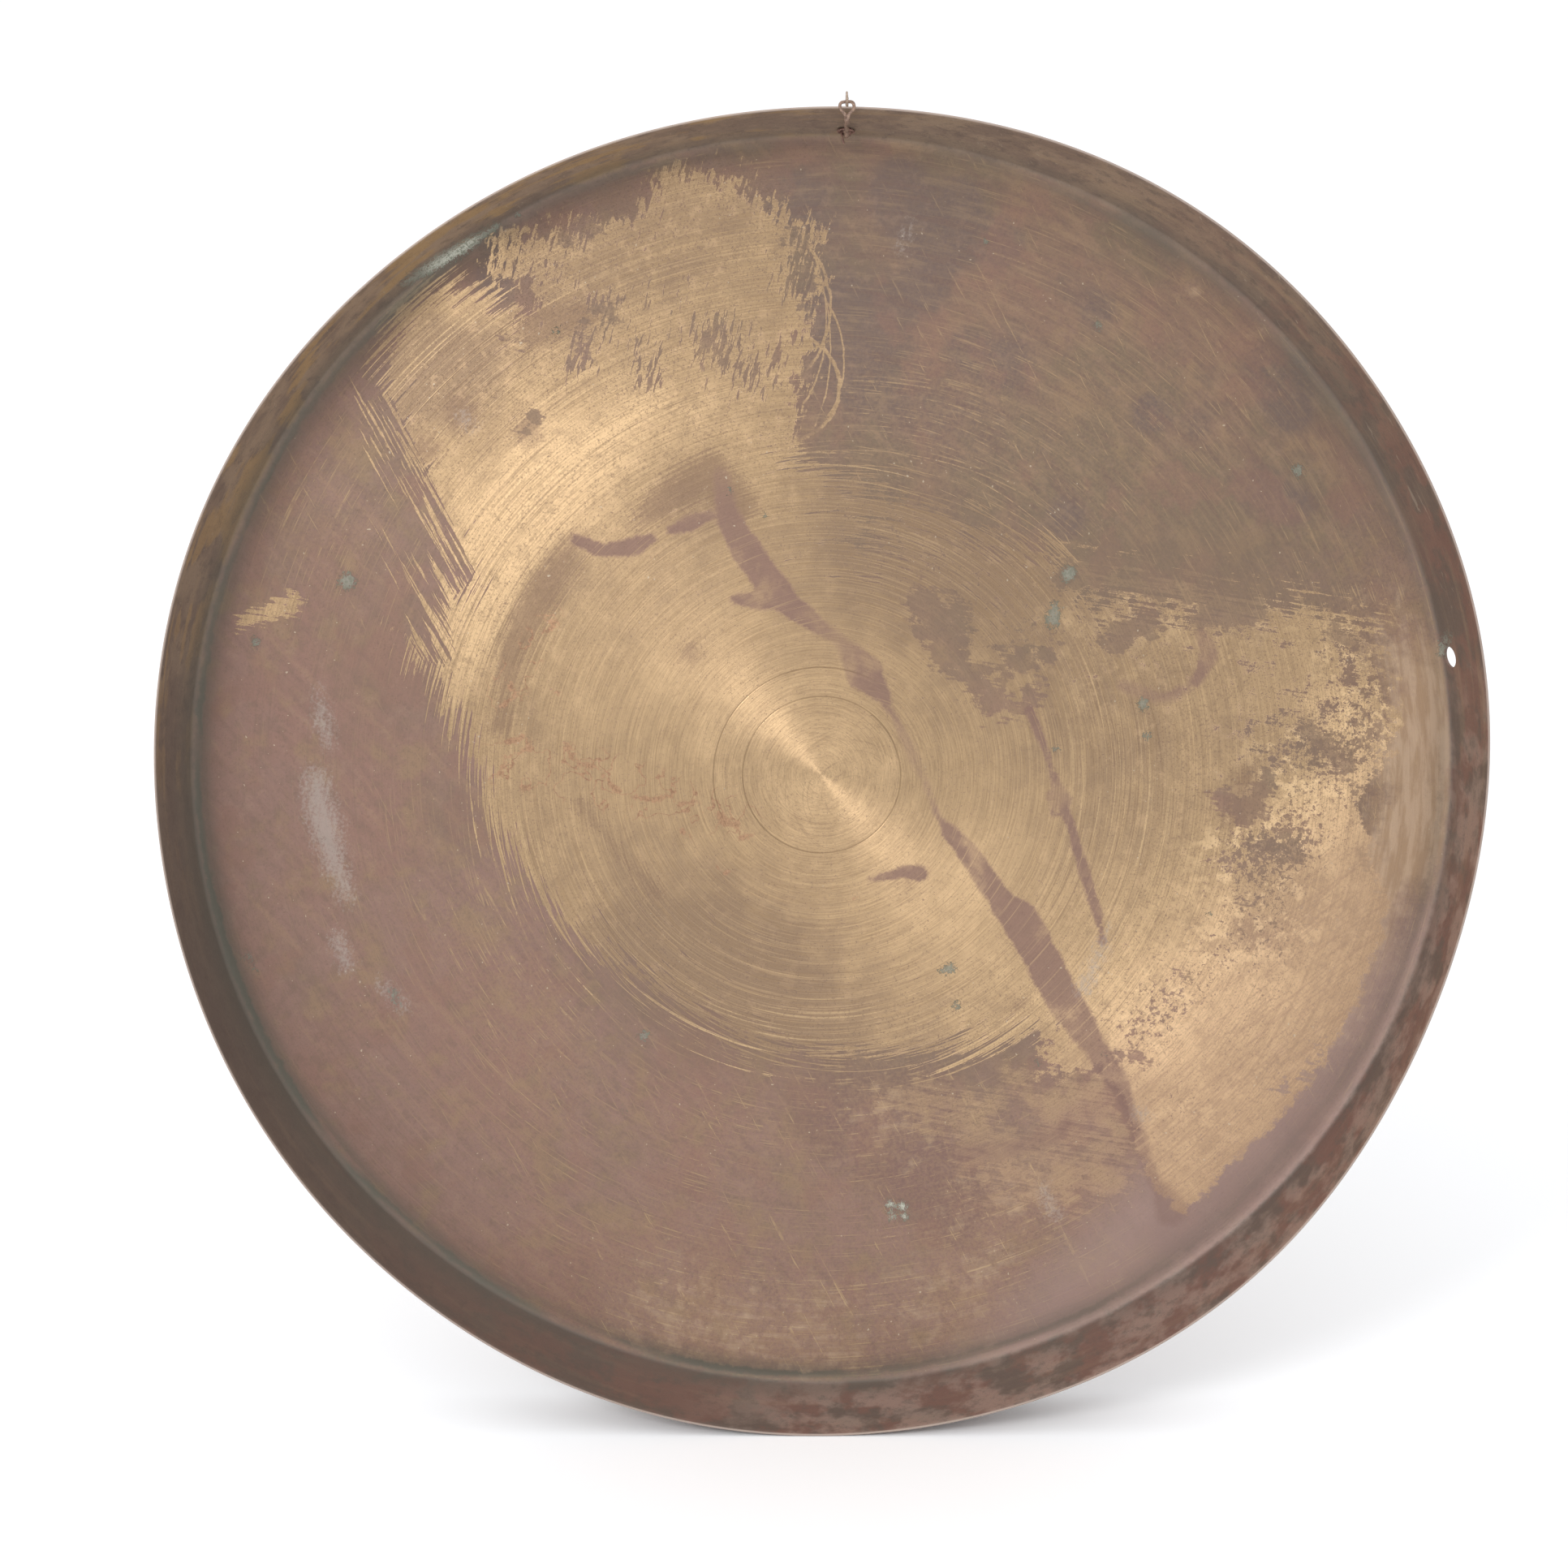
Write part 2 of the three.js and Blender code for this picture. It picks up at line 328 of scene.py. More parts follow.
# Dark blotches with broken edges
STROKES["blotch"] = [
    [(46, 80, 8), (56, 70, 12), (58, 58, 9), (70, 46, 7), (82, 34, 7)], [(86, 52, 6), (104, 56, 5)],
    [(100, 42, 4), (92, 32, 3)], [(112, 92, 5), (140, 92, 7), (172, 86, 7), (196, 76, 7), (170, 72, 3)],
    [(150, 72, 6), (132, 62, 4)], [(186, -12, 5), (200, -17, 6), (206, 2, 3)], [(240, 6, 6), (222, 22, 4)],
    [(204, -34, 5), (222, -38, 3)], [(196, -60, 3)], [(168, -92, 4)], [(236, 66, 4), (246, 60, 3)],
    [(256, -40, 4), (262, -50, 3)], [(-108, 204, 2), (-106, 192, 1.4)], [(-97, 214, 4)], [(-140, 198, 2.6)],
    [(-12, 246, 2), (-9, 230, 2.6), (-6, 208, 2.4)], [(-2, 168, 4), (-4, 152, 4)], [(-129, 164, 2.4)],
    [(-134, 158, 2)], [(-114, 248, 4), (-104, 249, 3)], [(138, -132, 4), (150, -134, 3)],
    [(232, -128, 1.6), (226, -140, 1.4)], [(216, -148, 1.6)],
]
# Soft brown films over the metal
STROKES["veil"] = [
    [(-112, 106, 4), (-124, 90, 8), (-136, 70, 8), (-144, 50, 5), (-148, 24, 3)],
    [(-112, -12, 1), (-94, -36, 1.2), (-78, -56, 0.8)],
    [(-84, 118, 3), (-66, 130, 8), (-50, 138, 9), (-40, 124, 9)], [(-164, 166, 7)], [(-181, 150, 4)],
    [(-134, 160, 5)], [(90, -108, 2)], [(-60, 58, 4)], [(-110, 210, 8), (-128, 206, 8)], [(40, -52, 3)],
    [(198, 4, 4), (192, -14, 9)], [(208, -78, 3), (196, -72, 4)],
]
# Specks and streaks of verdigris
STROKES["verdigris"] = [
    [(32, -204, 2.8)], [(38, -205, 3)], [(33, -210, 2.4)], [(39, -210, 2.2)], [(63, -109, 2.4)],
    [(60, -91, 3), (56, -92, 2)], [(-83, -123, 2.8)], [(-42, 131, 1.4)], [(217, 140, 3.2)],
    [(106, 72, 4), (107, 78, 2.6)], [(113, 93, 4)], [(148, 33, 3.2)], [(150, 18, 2.2)], [(108, 12, 2)],
    [(-217, 90, 4.5)], [(-259, 62, 2.6)], [(-268, -84, 3), (-264, -92, 1.6)], [(101, -136, 1.6)],
    [(-93, -158, 1.4)], [(-200, -102, 2), (-197, -108, 1.6)], [(180, -65, 1.8)], [(132, -132, 1.2)],
    [(-188, 224, 1.6), (-172, 234, 3), (-160, 241, 3), (-146, 250, 1.6)], [(-137, 255, 1.6)],
    [(125, 205, 2.4)], [(-26, 120, 1.4)], [(74, 243, 1.6)], [(-120, 203, 2)],
    [(284, 57, 2), (285, 66, 1.4)], [(-73, -237, 1.4)],
]
# Grey lime streaks
STROKES["lime"] = [
    [(-231, 40, 2), (-230, 26, 5), (-227, 14, 3)],
    [(-234, -2, 7), (-230, -22, 9), (-226, -40, 7), (-220, -56, 5)], [(-225, -76, 4), (-221, -88, 5)],
    [(-206, -98, 3), (-196, -108, 4)], [(104, -196, 3), (109, -208, 4)], [(-164, 166, 3), (-158, 160, 2)],
    [(134, -72, 2), (122, -100, 5)], [(150, -160, 4)], [(40, 250, 2), (36, 240, 2)],
]
# Pale scrapes on the wall
STROKES["scrapes"] = [
    [(-294, -62, 0.6), (-286, -96, 0.8), (-272, -130, 0.9), (-258, -160, 0.8)],
    [(283, -98, 0.4), (274, -120, 1.8), (264, -140, 1.2)], [(291, -84, 0.5), (289, -90, 0.6)],
    [(252, -168, 0.7), (240, -184, 0.8)], [(-253, -162, 0.7), (-236, -190, 0.8)],
    [(-216, -214, 0.6), (-196, -236, 0.9), (-184, -246, 0.6)],
]

# Soft round patches of (x, z, radius, weight)
PATCHES = {}
# Where the brown runs are faint
PATCHES["faint"] = [
    (-42, 142, 14, 0.4), (8, 62, 7, 0.4), (44, 6, 16, 0.35), (130, -130, 14, 0.1), (152, -180, 14, 0.2),
    (166, -208, 12, 0.5), (146, 40, 16, 0.35), (174, 66, 8, 0.3), (88, -178, 30, 0.45),
]
# Where a fine net of patina cuts up the polish
PATCHES["network"] = [
    (240, 12, 16, 1.2), (256, 22, 8, 1), (226, -24, 14, 0.6), (256, -10, 10, 0.8), (205, -44, 15, 1.1),
    (188, -36, 10, 0.9), (216, -28, 10, 0.9), (215, 10, 14, 0.8), (250, 45, 12, 0.8), (150, 85, 18, 0.6),
    (200, 84, 16, 0.5), (120, 45, 12, 0.5), (100, 70, 12, 0.8), (186, -84, 14, 0.9), (236, 62, 10, 0.5),
    (60, 60, 20, 0.5), (164, -106, 12, 0.9), (146, -120, 14, 1), (170, -160, 12, 0.6), (215, -75, 16, 0.7),
    (30, 118, 20, 0.7), (70, 100, 16, 0.7), (-10, 210, 14, 0.6),
]
# Clusters of short upright marks in the upper block
PATCHES["ticks"] = [
    (-42, 194, 9, 1), (-32, 180, 6, 1.1), (-52, 202, 6, 0.9), (-80, 192, 6, 1), (-76, 180, 4, 1),
    (-107, 198, 6, 1), (-95, 214, 6, 1), (-10, 226, 7, 1.2), (-13, 200, 5, 0.9), (-112, 188, 5, 0.9),
    (-22, 190, 6, 0.9), (-70, 210, 20, 0.25), (-110, 250, 8, 0.8), (-86, 262, 9, 0.7), (-140, 240, 8, 0.7),
]
# Where the polish is thin and lets islands of patina show
PATCHES["dull"] = [
    (30, 118, 22, 0.75), (70, 106, 16, 0.5), (40, 100, 22, 0.3), (90, 78, 20, 0.6), (140, 86, 20, 0.8),
    (190, 84, 24, 0.75), (240, 72, 16, 0.6), (130, 60, 12, 0.4), (214, 16, 22, 0.7), (245, 28, 12, 0.5),
    (206, -46, 18, 0.3), (200, -70, 16, 0.3), (236, -70, 24, 0.5), (215, -104, 20, 0.4), (252, 50, 10, 0.6),
    (225, -140, 20, 0.2), (160, -150, 12, 0.25), (190, -180, 16, 0.3), (268, -10, 14, 1.1),
    (-176, 170, 20, 0.4), (-176, 200, 18, 0.2), (-150, 186, 16, 0.25), (-126, 226, 12, 0.6),
    (-122, 240, 10, 0.4), (-104, 206, 12, 0.35), (-60, 238, 26, 0.15), (-30, 262, 14, 0.4),
    (-14, 236, 9, 0.6), (-80, 190, 9, 0.5), (-36, 188, 12, 0.55), (-90, 256, 10, 0.6), (-134, 160, 8, 0.5),
    (-20, -110, 34, 0.5), (40, -124, 26, 0.5), (90, -118, 20, 0.4), (-70, -92, 26, 0.5),
    (-90, -66, 20, 0.35), (20, 100, 12, 0.4), (0, 122, 20, 0.4),
]
# Where the bare metal is darker (below 0) or brighter; some of the brighter patches are painted highlight:
# the crescent at the upper left, the middle and the wedge towards the lower right
PATCHES["tone_and_painted_highlight"] = [
    (-140, 130, 30, 0.9), (-95, 158, 30, 0.9), (-158, 66, 20, 1.2), (-150, 100, 20, 0.6),
    (-50, 162, 26, 0.35), (45, -72, 32, 0.4), (80, -40, 20, 0.3), (170, -104, 24, 0.9), (230, -22, 14, 1.6),
    (250, 15, 12, 0.6), (228, 50, 18, 0.4), (0, 0, 34, 0.5), (-60, 34, 34, 0.4), (205, -96, 16, 0.6),
    (150, -60, 20, 0.3), (-30, -104, 36, -1.3), (-80, -84, 30, -0.8), (40, -120, 26, -0.4),
    (-100, 86, 16, -0.3), (-70, 92, 26, -0.3), (-66, 130, 16, -1), (-128, 84, 9, -1), (-140, 60, 8, -0.9),
    (-116, 100, 8, -0.8), (-140, 30, 8, -0.5), (-60, 240, 40, -0.5), (-120, 206, 30, -0.6),
    (-176, 176, 22, -0.8), (-170, 202, 18, -0.7), (236, 30, 10, 0.8), (246, -8, 9, 0.9),
    (186, -62, 10, 0.6), (150, -122, 13, 1.3), (-152, 160, 14, -0.4), (30, 110, 34, -1.1),
    (90, 90, 30, -0.8), (130, 20, 40, -0.45), (120, -30, 20, -0.3), (200, 60, 30, -0.2),
    (200, -150, 34, 0.1), (225, -85, 26, -0.1), (35, -207, 6, 2.5), (-168, 238, 18, 2.2),
    (-100, -20, 34, -0.2), (60, 30, 22, -0.2), (120, -104, 16, 0.5), (-20, 60, 24, -0.2),
]
# Darker, purple shadows in the patina of the plate
PATCHES["cloud"] = [
    (36, 268, 10, 1.2), (40, 254, 9, 1), (64, 262, 8, 1.1), (55, 240, 8, 1.3), (80, 242, 9, 1.2),
    (-22, 262, 12, 0.9), (46, 222, 9, 0.8), (10, 216, 20, 0.7), (16, 184, 24, 0.6), (2, 262, 14, 0.6),
    (110, 226, 10, 0.5), (125, 212, 8, 0.8), (205, 188, 10, 1.4), (213, 170, 9, 1.4), (150, 166, 6, 1.5),
    (88, 196, 14, 0.5), (66, 196, 5, 1), (84, 188, 5, 1), (110, 150, 26, 0.3), (60, 158, 30, 0.5),
    (196, 134, 12, 0.7), (215, 124, 10, 0.8), (112, 118, 7, 0.9), (172, 162, 8, 0.7), (176, 184, 7, 0.5),
    (-246, 30, 30, 0.2), (24, -236, 24, 0.2), (264, 24, 10, 0.4), (60, -192, 16, 0.7),
    (-196, 140, 14, 0.25), (-188, 112, 12, 0.35), (-178, 84, 10, 0.4), (30, -170, 26, 0.8),
    # The wide patch at (-150, -170) makes the lower left of the plate somewhat darker.
    (52, -150, 12, 0.7), (62, -212, 12, 0.5), (-60, -196, 10, 0.6), (-150, -170, 50, 0.3),
    (90, -240, 24, 0.5), (166, -216, 14, 0.9), (196, -196, 12, 0.9), (222, -166, 12, 0.9),
    (243, -135, 12, 0.9), (258, -104, 10, 0.9), (266, -72, 8, 0.8), (-140, 240, 12, 0.8),
    (-200, 180, 12, 0.3), (-150, 222, 12, 0.6), (-186, -60, 40, 0.3), (0, -150, 20, 0.5),
    (100, -176, 14, 0.4),
]
# Where turning marks are deepest
PATCHES["ringed"] = [
    (-140, 130, 40, 0.45), (-90, 165, 40, 0.5), (-160, 60, 26, 0.8), (140, 20, 26, 0.8), (140, -40, 26, 1),
    (110, -110, 26, 0.9), (60, 130, 26, 0.7), (0, 0, 40, 0.5), (-170, 192, 28, 1.2), (20, -130, 34, 0.8),
    (-150, -40, 26, 0.7), (-100, -100, 26, 0.9), (-40, -130, 26, 1), (200, -130, 40, 0.3),
    (30, 170, 30, 0.7),
]
# Where the patina is olive rather than red-brown
PATCHES["olive"] = [
    (150, 200, 80, 0.9), (60, 200, 60, 0.8), (200, 140, 50, 0.7), (100, 130, 40, 0.5), (250, 20, 40, 0.5),
    (70, 90, 60, 0.7), (-60, 200, 60, 0.5), (-110, 120, 70, 0.3), (-80, -140, 60, 0.2),
    (-172, -20, 14, 0.8), (40, -110, 50, 0.7), (100, -190, 40, 0.4), (-240, -70, 30, 0.2),
    (-170, 170, 26, 0.7), (202, -14, 20, 0.5), (-190, 40, 20, 0.4), (240, -60, 50, 0.3), (0, 280, 40, 0.8),
    (80, 270, 40, 0.8), (-230, 110, 26, 0.4), (-210, 60, 26, 0.4),
]
# How brightly fine scratches and half-worn patches show on the patina
PATCHES["scratches"] = [
    (60, 160, 40, 0.5), (140, 180, 60, 0.3), (170, 130, 50, 0.3), (110, 150, 40, 0.3), (20, 160, 30, 0.5),
    (190, 200, 30, 0.3), (262, 110, 24, 0.5), (272, 60, 20, 1.1), (276, 10, 20, 2.2), (276, -30, 16, 1.7),
    (-210, 110, 30, 0.5), (-160, -70, 24, 0.8), (-130, -110, 24, 0.7), (-190, -30, 30, 0.4),
    (-40, -170, 26, 0.7), (30, -160, 26, 1.2), (100, -190, 30, 1), (60, -224, 30, 0.5),
    (-100, -200, 60, 0.3), (-230, 130, 30, 0.5), (230, 60, 30, 0.6), (-140, -150, 30, 0.5),
    (140, -238, 12, 0.9), (167, 223, 5, 1), (197, 203, 4, 0.8), (-60, 284, 40, 0.6), (90, 270, 50, 0.4),
    (0, -276, 40, 1.2), (-80, -264, 40, 1.1), (80, -262, 30, 0.9), (-172, 222, 14, 1), (246, -60, 24, 2),
    (232, -110, 26, 1.8), (206, -150, 20, 0.6), (180, -180, 16, 0.6), (262, 90, 20, 0.2),
    (284, 40, 14, 0.8),
]
# Green-grey dirt in the corner of plate and wall
PATCHES["dirt"] = [
    (-283, 30, 50, 1), (-250, 140, 50, 1), (-180, 222, 40, 0.9), (-276, -70, 50, 1.1),
    (-220, -180, 60, 1.2), (-110, -265, 60, 1.1), (0, -287, 50, 0.9), (120, -260, 50, 0.7),
    (-80, 276, 40, 0.7), (220, -184, 50, 0.25), (262, -110, 30, 0.2), (140, 250, 50, 0.6),
    (240, 155, 40, 0.7), (280, 40, 60, 0.3), (285, -40, 30, 0.3),
]

# The radius of the dirt line in the corner, by angle, in degrees and mm
CORNER_LINE = [
    (-180, 287.5), (-120, 288), (-90, 286.5), (-60, 284), (-40, 280), (-22, 284), (10, 287), (90, 287),
    (180, 287.5),
]

# The struck face has marks of its own: two drips, a few blotches and specks, and worn patches
STRUCK_STROKES, STRUCK_PATCHES = {}, {}
STRUCK_STROKES["stain"] = [
    [(60, 150, 4), (72, 90, 5), (66, 30, 3), (80, -30, 4), (78, -60, 6)],
    [(-120, 60, 5), (-132, 0, 6), (-126, -50, 4)],
]
STRUCK_STROKES["blotch"] = [[(-180, 110, 10)], [(40, -210, 12)], [(200, 60, 12), (190, 30, 6)]]
STRUCK_STROKES["veil"] = [[(-60, 60, 8), (-30, 20, 12), (-40, -40, 9)]]
STRUCK_STROKES["verdigris"] = [[(-140, 200, 4)], [(222, -110, 3)], [(-60, -250, 5), (-40, -256, 3)]]
STRUCK_STROKES["lime"] = [[(-220, -90, 4), (-214, -130, 6)]]
STRUCK_STROKES["copper"] = [[(20, 40, 12), (60, 10, 14)]]
STRUCK_STROKES["scrapes"] = [[(200, 216, 0.6), (240, 170, 0.9)], [(-120, -272, 0.7), (-60, -290, 0.8)]]
STRUCK_PATCHES["faint"] = [(70, 40, 30, 0.5), (-130, 10, 30, 0.5)]
STRUCK_PATCHES["network"] = [(-8, -14, 70, 0.9), (150, -120, 40, 0.9)]
STRUCK_PATCHES["dull"] = [(-8, -14, 300, 0.55), (150, -120, 40, 0.4)]
STRUCK_PATCHES["tone_and_painted_highlight"] = [(-8, -14, 50, 0.7), (150, -120, 40, -0.4)]
STRUCK_PATCHES["cloud"] = [(-60, 220, 40, 0.9), (180, -60, 50, 0.7), (-200, -60, 40, 0.8)]
STRUCK_PATCHES["ringed"] = [(-8, -14, 90, 0.8)]
STRUCK_PATCHES["olive"] = [(-120, -120, 90, 0.9), (120, 140, 90, 0.8)]
STRUCK_PATCHES["scratches"] = [(-60, 60, 120, 0.8), (160, -160, 80, 0.7)]

FAR = -60.0                             # the distance stored where there is no such mark
WORN_MIDDLE = ((-8, -14), 84)           # the struck face's worn round patch, as (middle, radius)
WORN_SIDE = ((150, -120), 40, 1.6)      # a second one, as (middle, half height, width to height)
HALF_WORN_RADIUS = 150
SMEAR_SHARPNESS = 4


def distance_to_line(x, z, start, end):
    """How far along a line the nearest point lies, 0 to 1, and how far away it is."""
    (ax, az), (bx, bz) = start, end
    length = max((bx - ax) ** 2 + (bz - az) ** 2, 1e-6)
    along = np.clip(((x - ax) * (bx - ax) + (z - az) * (bz - az)) / length, 0, 1)
    return along, np.hypot(x - ax - along * (bx - ax), z - az - along * (bz - az))


def outline_distance(x, z, outline):
    """Signed distance to a closed outline, in millimetres, positive inside."""
    corners = np.array(outline, float)
    nearest = np.full(x.shape, 1e9)
    inside = np.zeros(x.shape, bool)
    for (ax, az), (bx, bz) in zip(corners, np.roll(corners, -1, axis=0)):
        nearest = np.minimum(nearest, distance_to_line(x, z, (ax, az), (bx, bz))[1])
        crosses = (az > z) != (bz > z)
        height = np.where(bz == az, 1e-9, bz - az)
        inside ^= crosses & (x < (bx - ax) * (z - az) / height + ax)
    return np.where(inside, nearest, -nearest)


def stroke_distance(x, z, strokes):
    """Signed distance to a set of strokes of changing width, positive inside."""
    best = np.full(x.shape, -1e3)
    for stroke in strokes:
        ends = stroke if len(stroke) > 1 else stroke * 2
        for (ax, az, aw), (bx, bz, bw) in zip(ends, ends[1:]):
            along, away = distance_to_line(x, z, (ax, az), (bx, bz))
            best = np.maximum(best, aw + along * (bw - aw) - away)
    return best


def soft_patches(x, z, patches):
    """The sum of round soft patches given as (x, z, radius, weight)."""
    total = np.zeros(x.shape)
    for px, pz, radius, weight in patches:
        total += weight * np.exp(-((x - px) ** 2 + (z - pz) ** 2) / (2 * radius ** 2))
    return total


def wear_masks(x, z, outlines, strokes, patches):
    """Each kind of wear by its name: distances in millimetres, and the weights of patches."""
    masks = {name: outline_distance(x, z, outline) for name, outline in outlines.items()}
    masks.update({name: stroke_distance(x, z, marks) for name, marks in strokes.items()})
    masks.update({name: soft_patches(x, z, spots) for name, spots in patches.items()})
    return masks


def struck_face_masks(x, z, radius):
    """The struck face is worn in a round patch in the middle and has its own few drips."""
    masks = wear_masks(x, z, {}, STRUCK_STROKES, STRUCK_PATCHES)
    (middle_x, middle_z), worn_radius = WORN_MIDDLE
    masks["swirl"] = worn_radius - np.hypot(x - middle_x, z - middle_z)
    (side_x, side_z), half_height, stretch = WORN_SIDE
    masks["side"] = half_height - np.hypot((x - side_x) / stretch, z - side_z)
    masks["low"] = HALF_WORN_RADIUS - radius
    return masks


def store_values(mesh, name, values):
    layer = mesh.attributes.new(name, "FLOAT", "POINT")
    layer.data.foreach_set("value", values.astype(np.float32))


def paint_wear(dish):
    """Stores each kind of wear, and where highlights are painted, on the dish's vertices, as distances in
    millimetres or as weights.
    """
    mesh = dish.data
    place, normal = np.empty(len(mesh.vertices) * 3), np.empty(len(mesh.vertices) * 3)
    mesh.vertices.foreach_get("co", place)
    mesh.vertices.foreach_get("normal", normal)
    place, normal = place.reshape(-1, 3) / MM, normal.reshape(-1, 3)
    x, y, z = place.T
    radius = np.maximum(np.hypot(x, z), 1e-6)
    on_plate = np.abs(normal[:, 1]) > 0.5
    outer = np.where(on_plate, normal[:, 1] > 0, (normal[:, 0] * x + normal[:, 2] * z) / radius > 0)
    hollow = wear_masks(x, z, OUTLINES, STROKES, PATCHES)
    hollow["side"] = np.maximum(hollow["side"], SMEAR_SHARPNESS * hollow.pop("smear"))
    hollow["corner"] = np.interp(np.degrees(np.arctan2(z, x)), *zip(*CORNER_LINE)) - radius
    struck = struck_face_masks(x, z, radius)
    for name, values in hollow.items():
        unmarked = 0.0 if name in PATCHES else FAR
        store_values(mesh, name, np.where(outer, struck.get(name, unmarked), values))
    store_values(mesh, "outer", outer)


# ---------------------------------------------------------------- node graphs

class Graph:
    """Short calls for wiring one material's nodes. Distances in a graph are millimetres."""

    def __init__(self, name):
        self.material = bpy.data.materials.new(name)
        self.material.use_nodes = True
        self.tree = self.material.node_tree
        self.tree.nodes.clear()

    def node(self, kind, **settings):
        made = self.tree.nodes.new(kind)
        for key, value in settings.items():
            setattr(made, key, value)
        return made

    def plug(self, socket, value):
        if isinstance(value, bpy.types.NodeSocket):
            self.tree.links.new(value, socket)
        else:
            socket.default_value = value

    def filled(self, made, values):
        """The node's first output, once its first inputs hold the values."""
        for socket, value in zip(made.inputs, values):
            self.plug(socket, value)
        return made.outputs[0]

    def math(self, operation, *values, clamp=False):
        return self.filled(self.node("ShaderNodeMath", operation=operation, use_clamp=clamp), values)

    def chain(self, operation, values):
        total = values[0]
        for value in values[1:]:
            total = self.math(operation, total, value)
        return total

    def add(self, *values):
        return self.chain("ADD", values)

    def times(self, *values):
        return self.chain("MULTIPLY", values)

    def most(self, *values):
        return self.chain("MAXIMUM", values)

    def least(self, *values):
        return self.chain("MINIMUM", values)

    def size(self, value):
        return self.math("ABSOLUTE", value)

    def length(self, across, up):
        return self.math("SQRT", self.add(self.times(across, across), self.times(up, up)))

    def rest(self, share):
        """What is left of one after a share is taken."""
        return self.math("SUBTRACT", 1.0, share)

    def without(self, value, share):
        """The value, less the given share of it."""
        return self.times(value, self.rest(share))

    def sway(self, noise, size):
        """A noise as a shift to either side, of which size is about the usual amount."""
        return self.math("MULTIPLY_ADD", noise, 10 * size, -5 * size)

    def blend(self, share, first, second):
        made = self.node("ShaderNodeMix", data_type="FLOAT")
        for socket, value in zip((made.inputs[0], made.inputs[2], made.inputs[3]), (share, first, second)):
            self.plug(socket, value)
        return made.outputs[0]

    def step(self, value, low, high):
        made = self.node("ShaderNodeMapRange", interpolation_type="SMOOTHSTEP")
        return self.filled(made, (value, low, high, 0.0, 1.0))

    def attribute(self, name):
        return self.node("ShaderNodeAttribute", attribute_name=name).outputs["Fac"]

    def vector(self, x, y, z):
        return self.filled(self.node("ShaderNodeCombineXYZ"), (x, y, z))

    def noise(self, place, scale=1.0, detail=2.0, roughness=0.5):
        made = self.node("ShaderNodeTexNoise", noise_dimensions="3D")
        self.plug(made.inputs["Vector"], place)
        made.inputs["Scale"].default_value = scale
        made.inputs["Detail"].default_value = detail
        made.inputs["Roughness"].default_value = roughness
        return made.outputs[0]

    def mix(self, share, first, second):
        """Two colours mixed, each a socket or a display colour from 0 to 255."""
        made = self.node("ShaderNodeMix", data_type="RGBA", clamp_factor=True)
        self.plug(made.inputs[0], share)
        for socket, colour in ((made.inputs[6], first), (made.inputs[7], second)):
            self.plug(socket, srgb(*colour) if isinstance(colour, tuple) else colour)
        return made.outputs[2]

    def lay(self, under, tone, *shares):
        """A tone laid over a colour, as strongly as the product of the shares."""
        return self.mix(self.times(*shares), under, tone)

    def lay_all(self, under, layers):
        """Lays a tone for each (field, low, high, tone, shares), where the field goes from low to high."""
        for field, low, high, tone, *shares in layers:
            under = self.lay(under, tone, self.step(field, low, high), *shares)
        return under

    def turn(self, vector, angle):
        made = self.node("ShaderNodeVectorRotate", rotation_type="X_AXIS")
        self.plug(made.inputs["Vector"], vector)
        made.inputs["Angle"].default_value = angle
        return made.outputs[0]

    def place(self):
        """The point in millimetres with the dish upright, and its x, y and z."""
        scaled = self.node("ShaderNodeVectorMath", operation="SCALE")
        self.plug(scaled.inputs[0], self.turn(self.node("ShaderNodeTexCoord").outputs["Object"], HANG_TILT))
        scaled.inputs["Scale"].default_value = 1 / MM
        split = self.node("ShaderNodeSeparateXYZ")
        self.plug(split.inputs[0], scaled.outputs[0])
        return scaled.outputs[0], *split.outputs

    def finish(self, sockets, bump_height, bump_distance, tangent=None):
        shader = self.node("ShaderNodeBsdfPrincipled")
        for name, value in sockets.items():
            self.plug(shader.inputs[name], value)
        bump = self.node("ShaderNodeBump")
        bump.inputs["Distance"].default_value = bump_distance * MM
        self.plug(bump.inputs["Height"], bump_height)
        self.plug(shader.inputs["Normal"], bump.outputs[0])
        if tangent is not None:
            self.plug(shader.inputs["Tangent"], tangent)
        output = self.node("ShaderNodeOutputMaterial")
        self.plug(output.inputs[0], shader.outputs[0])
        return self.material


# ---------------------------------------------------------------- bronze

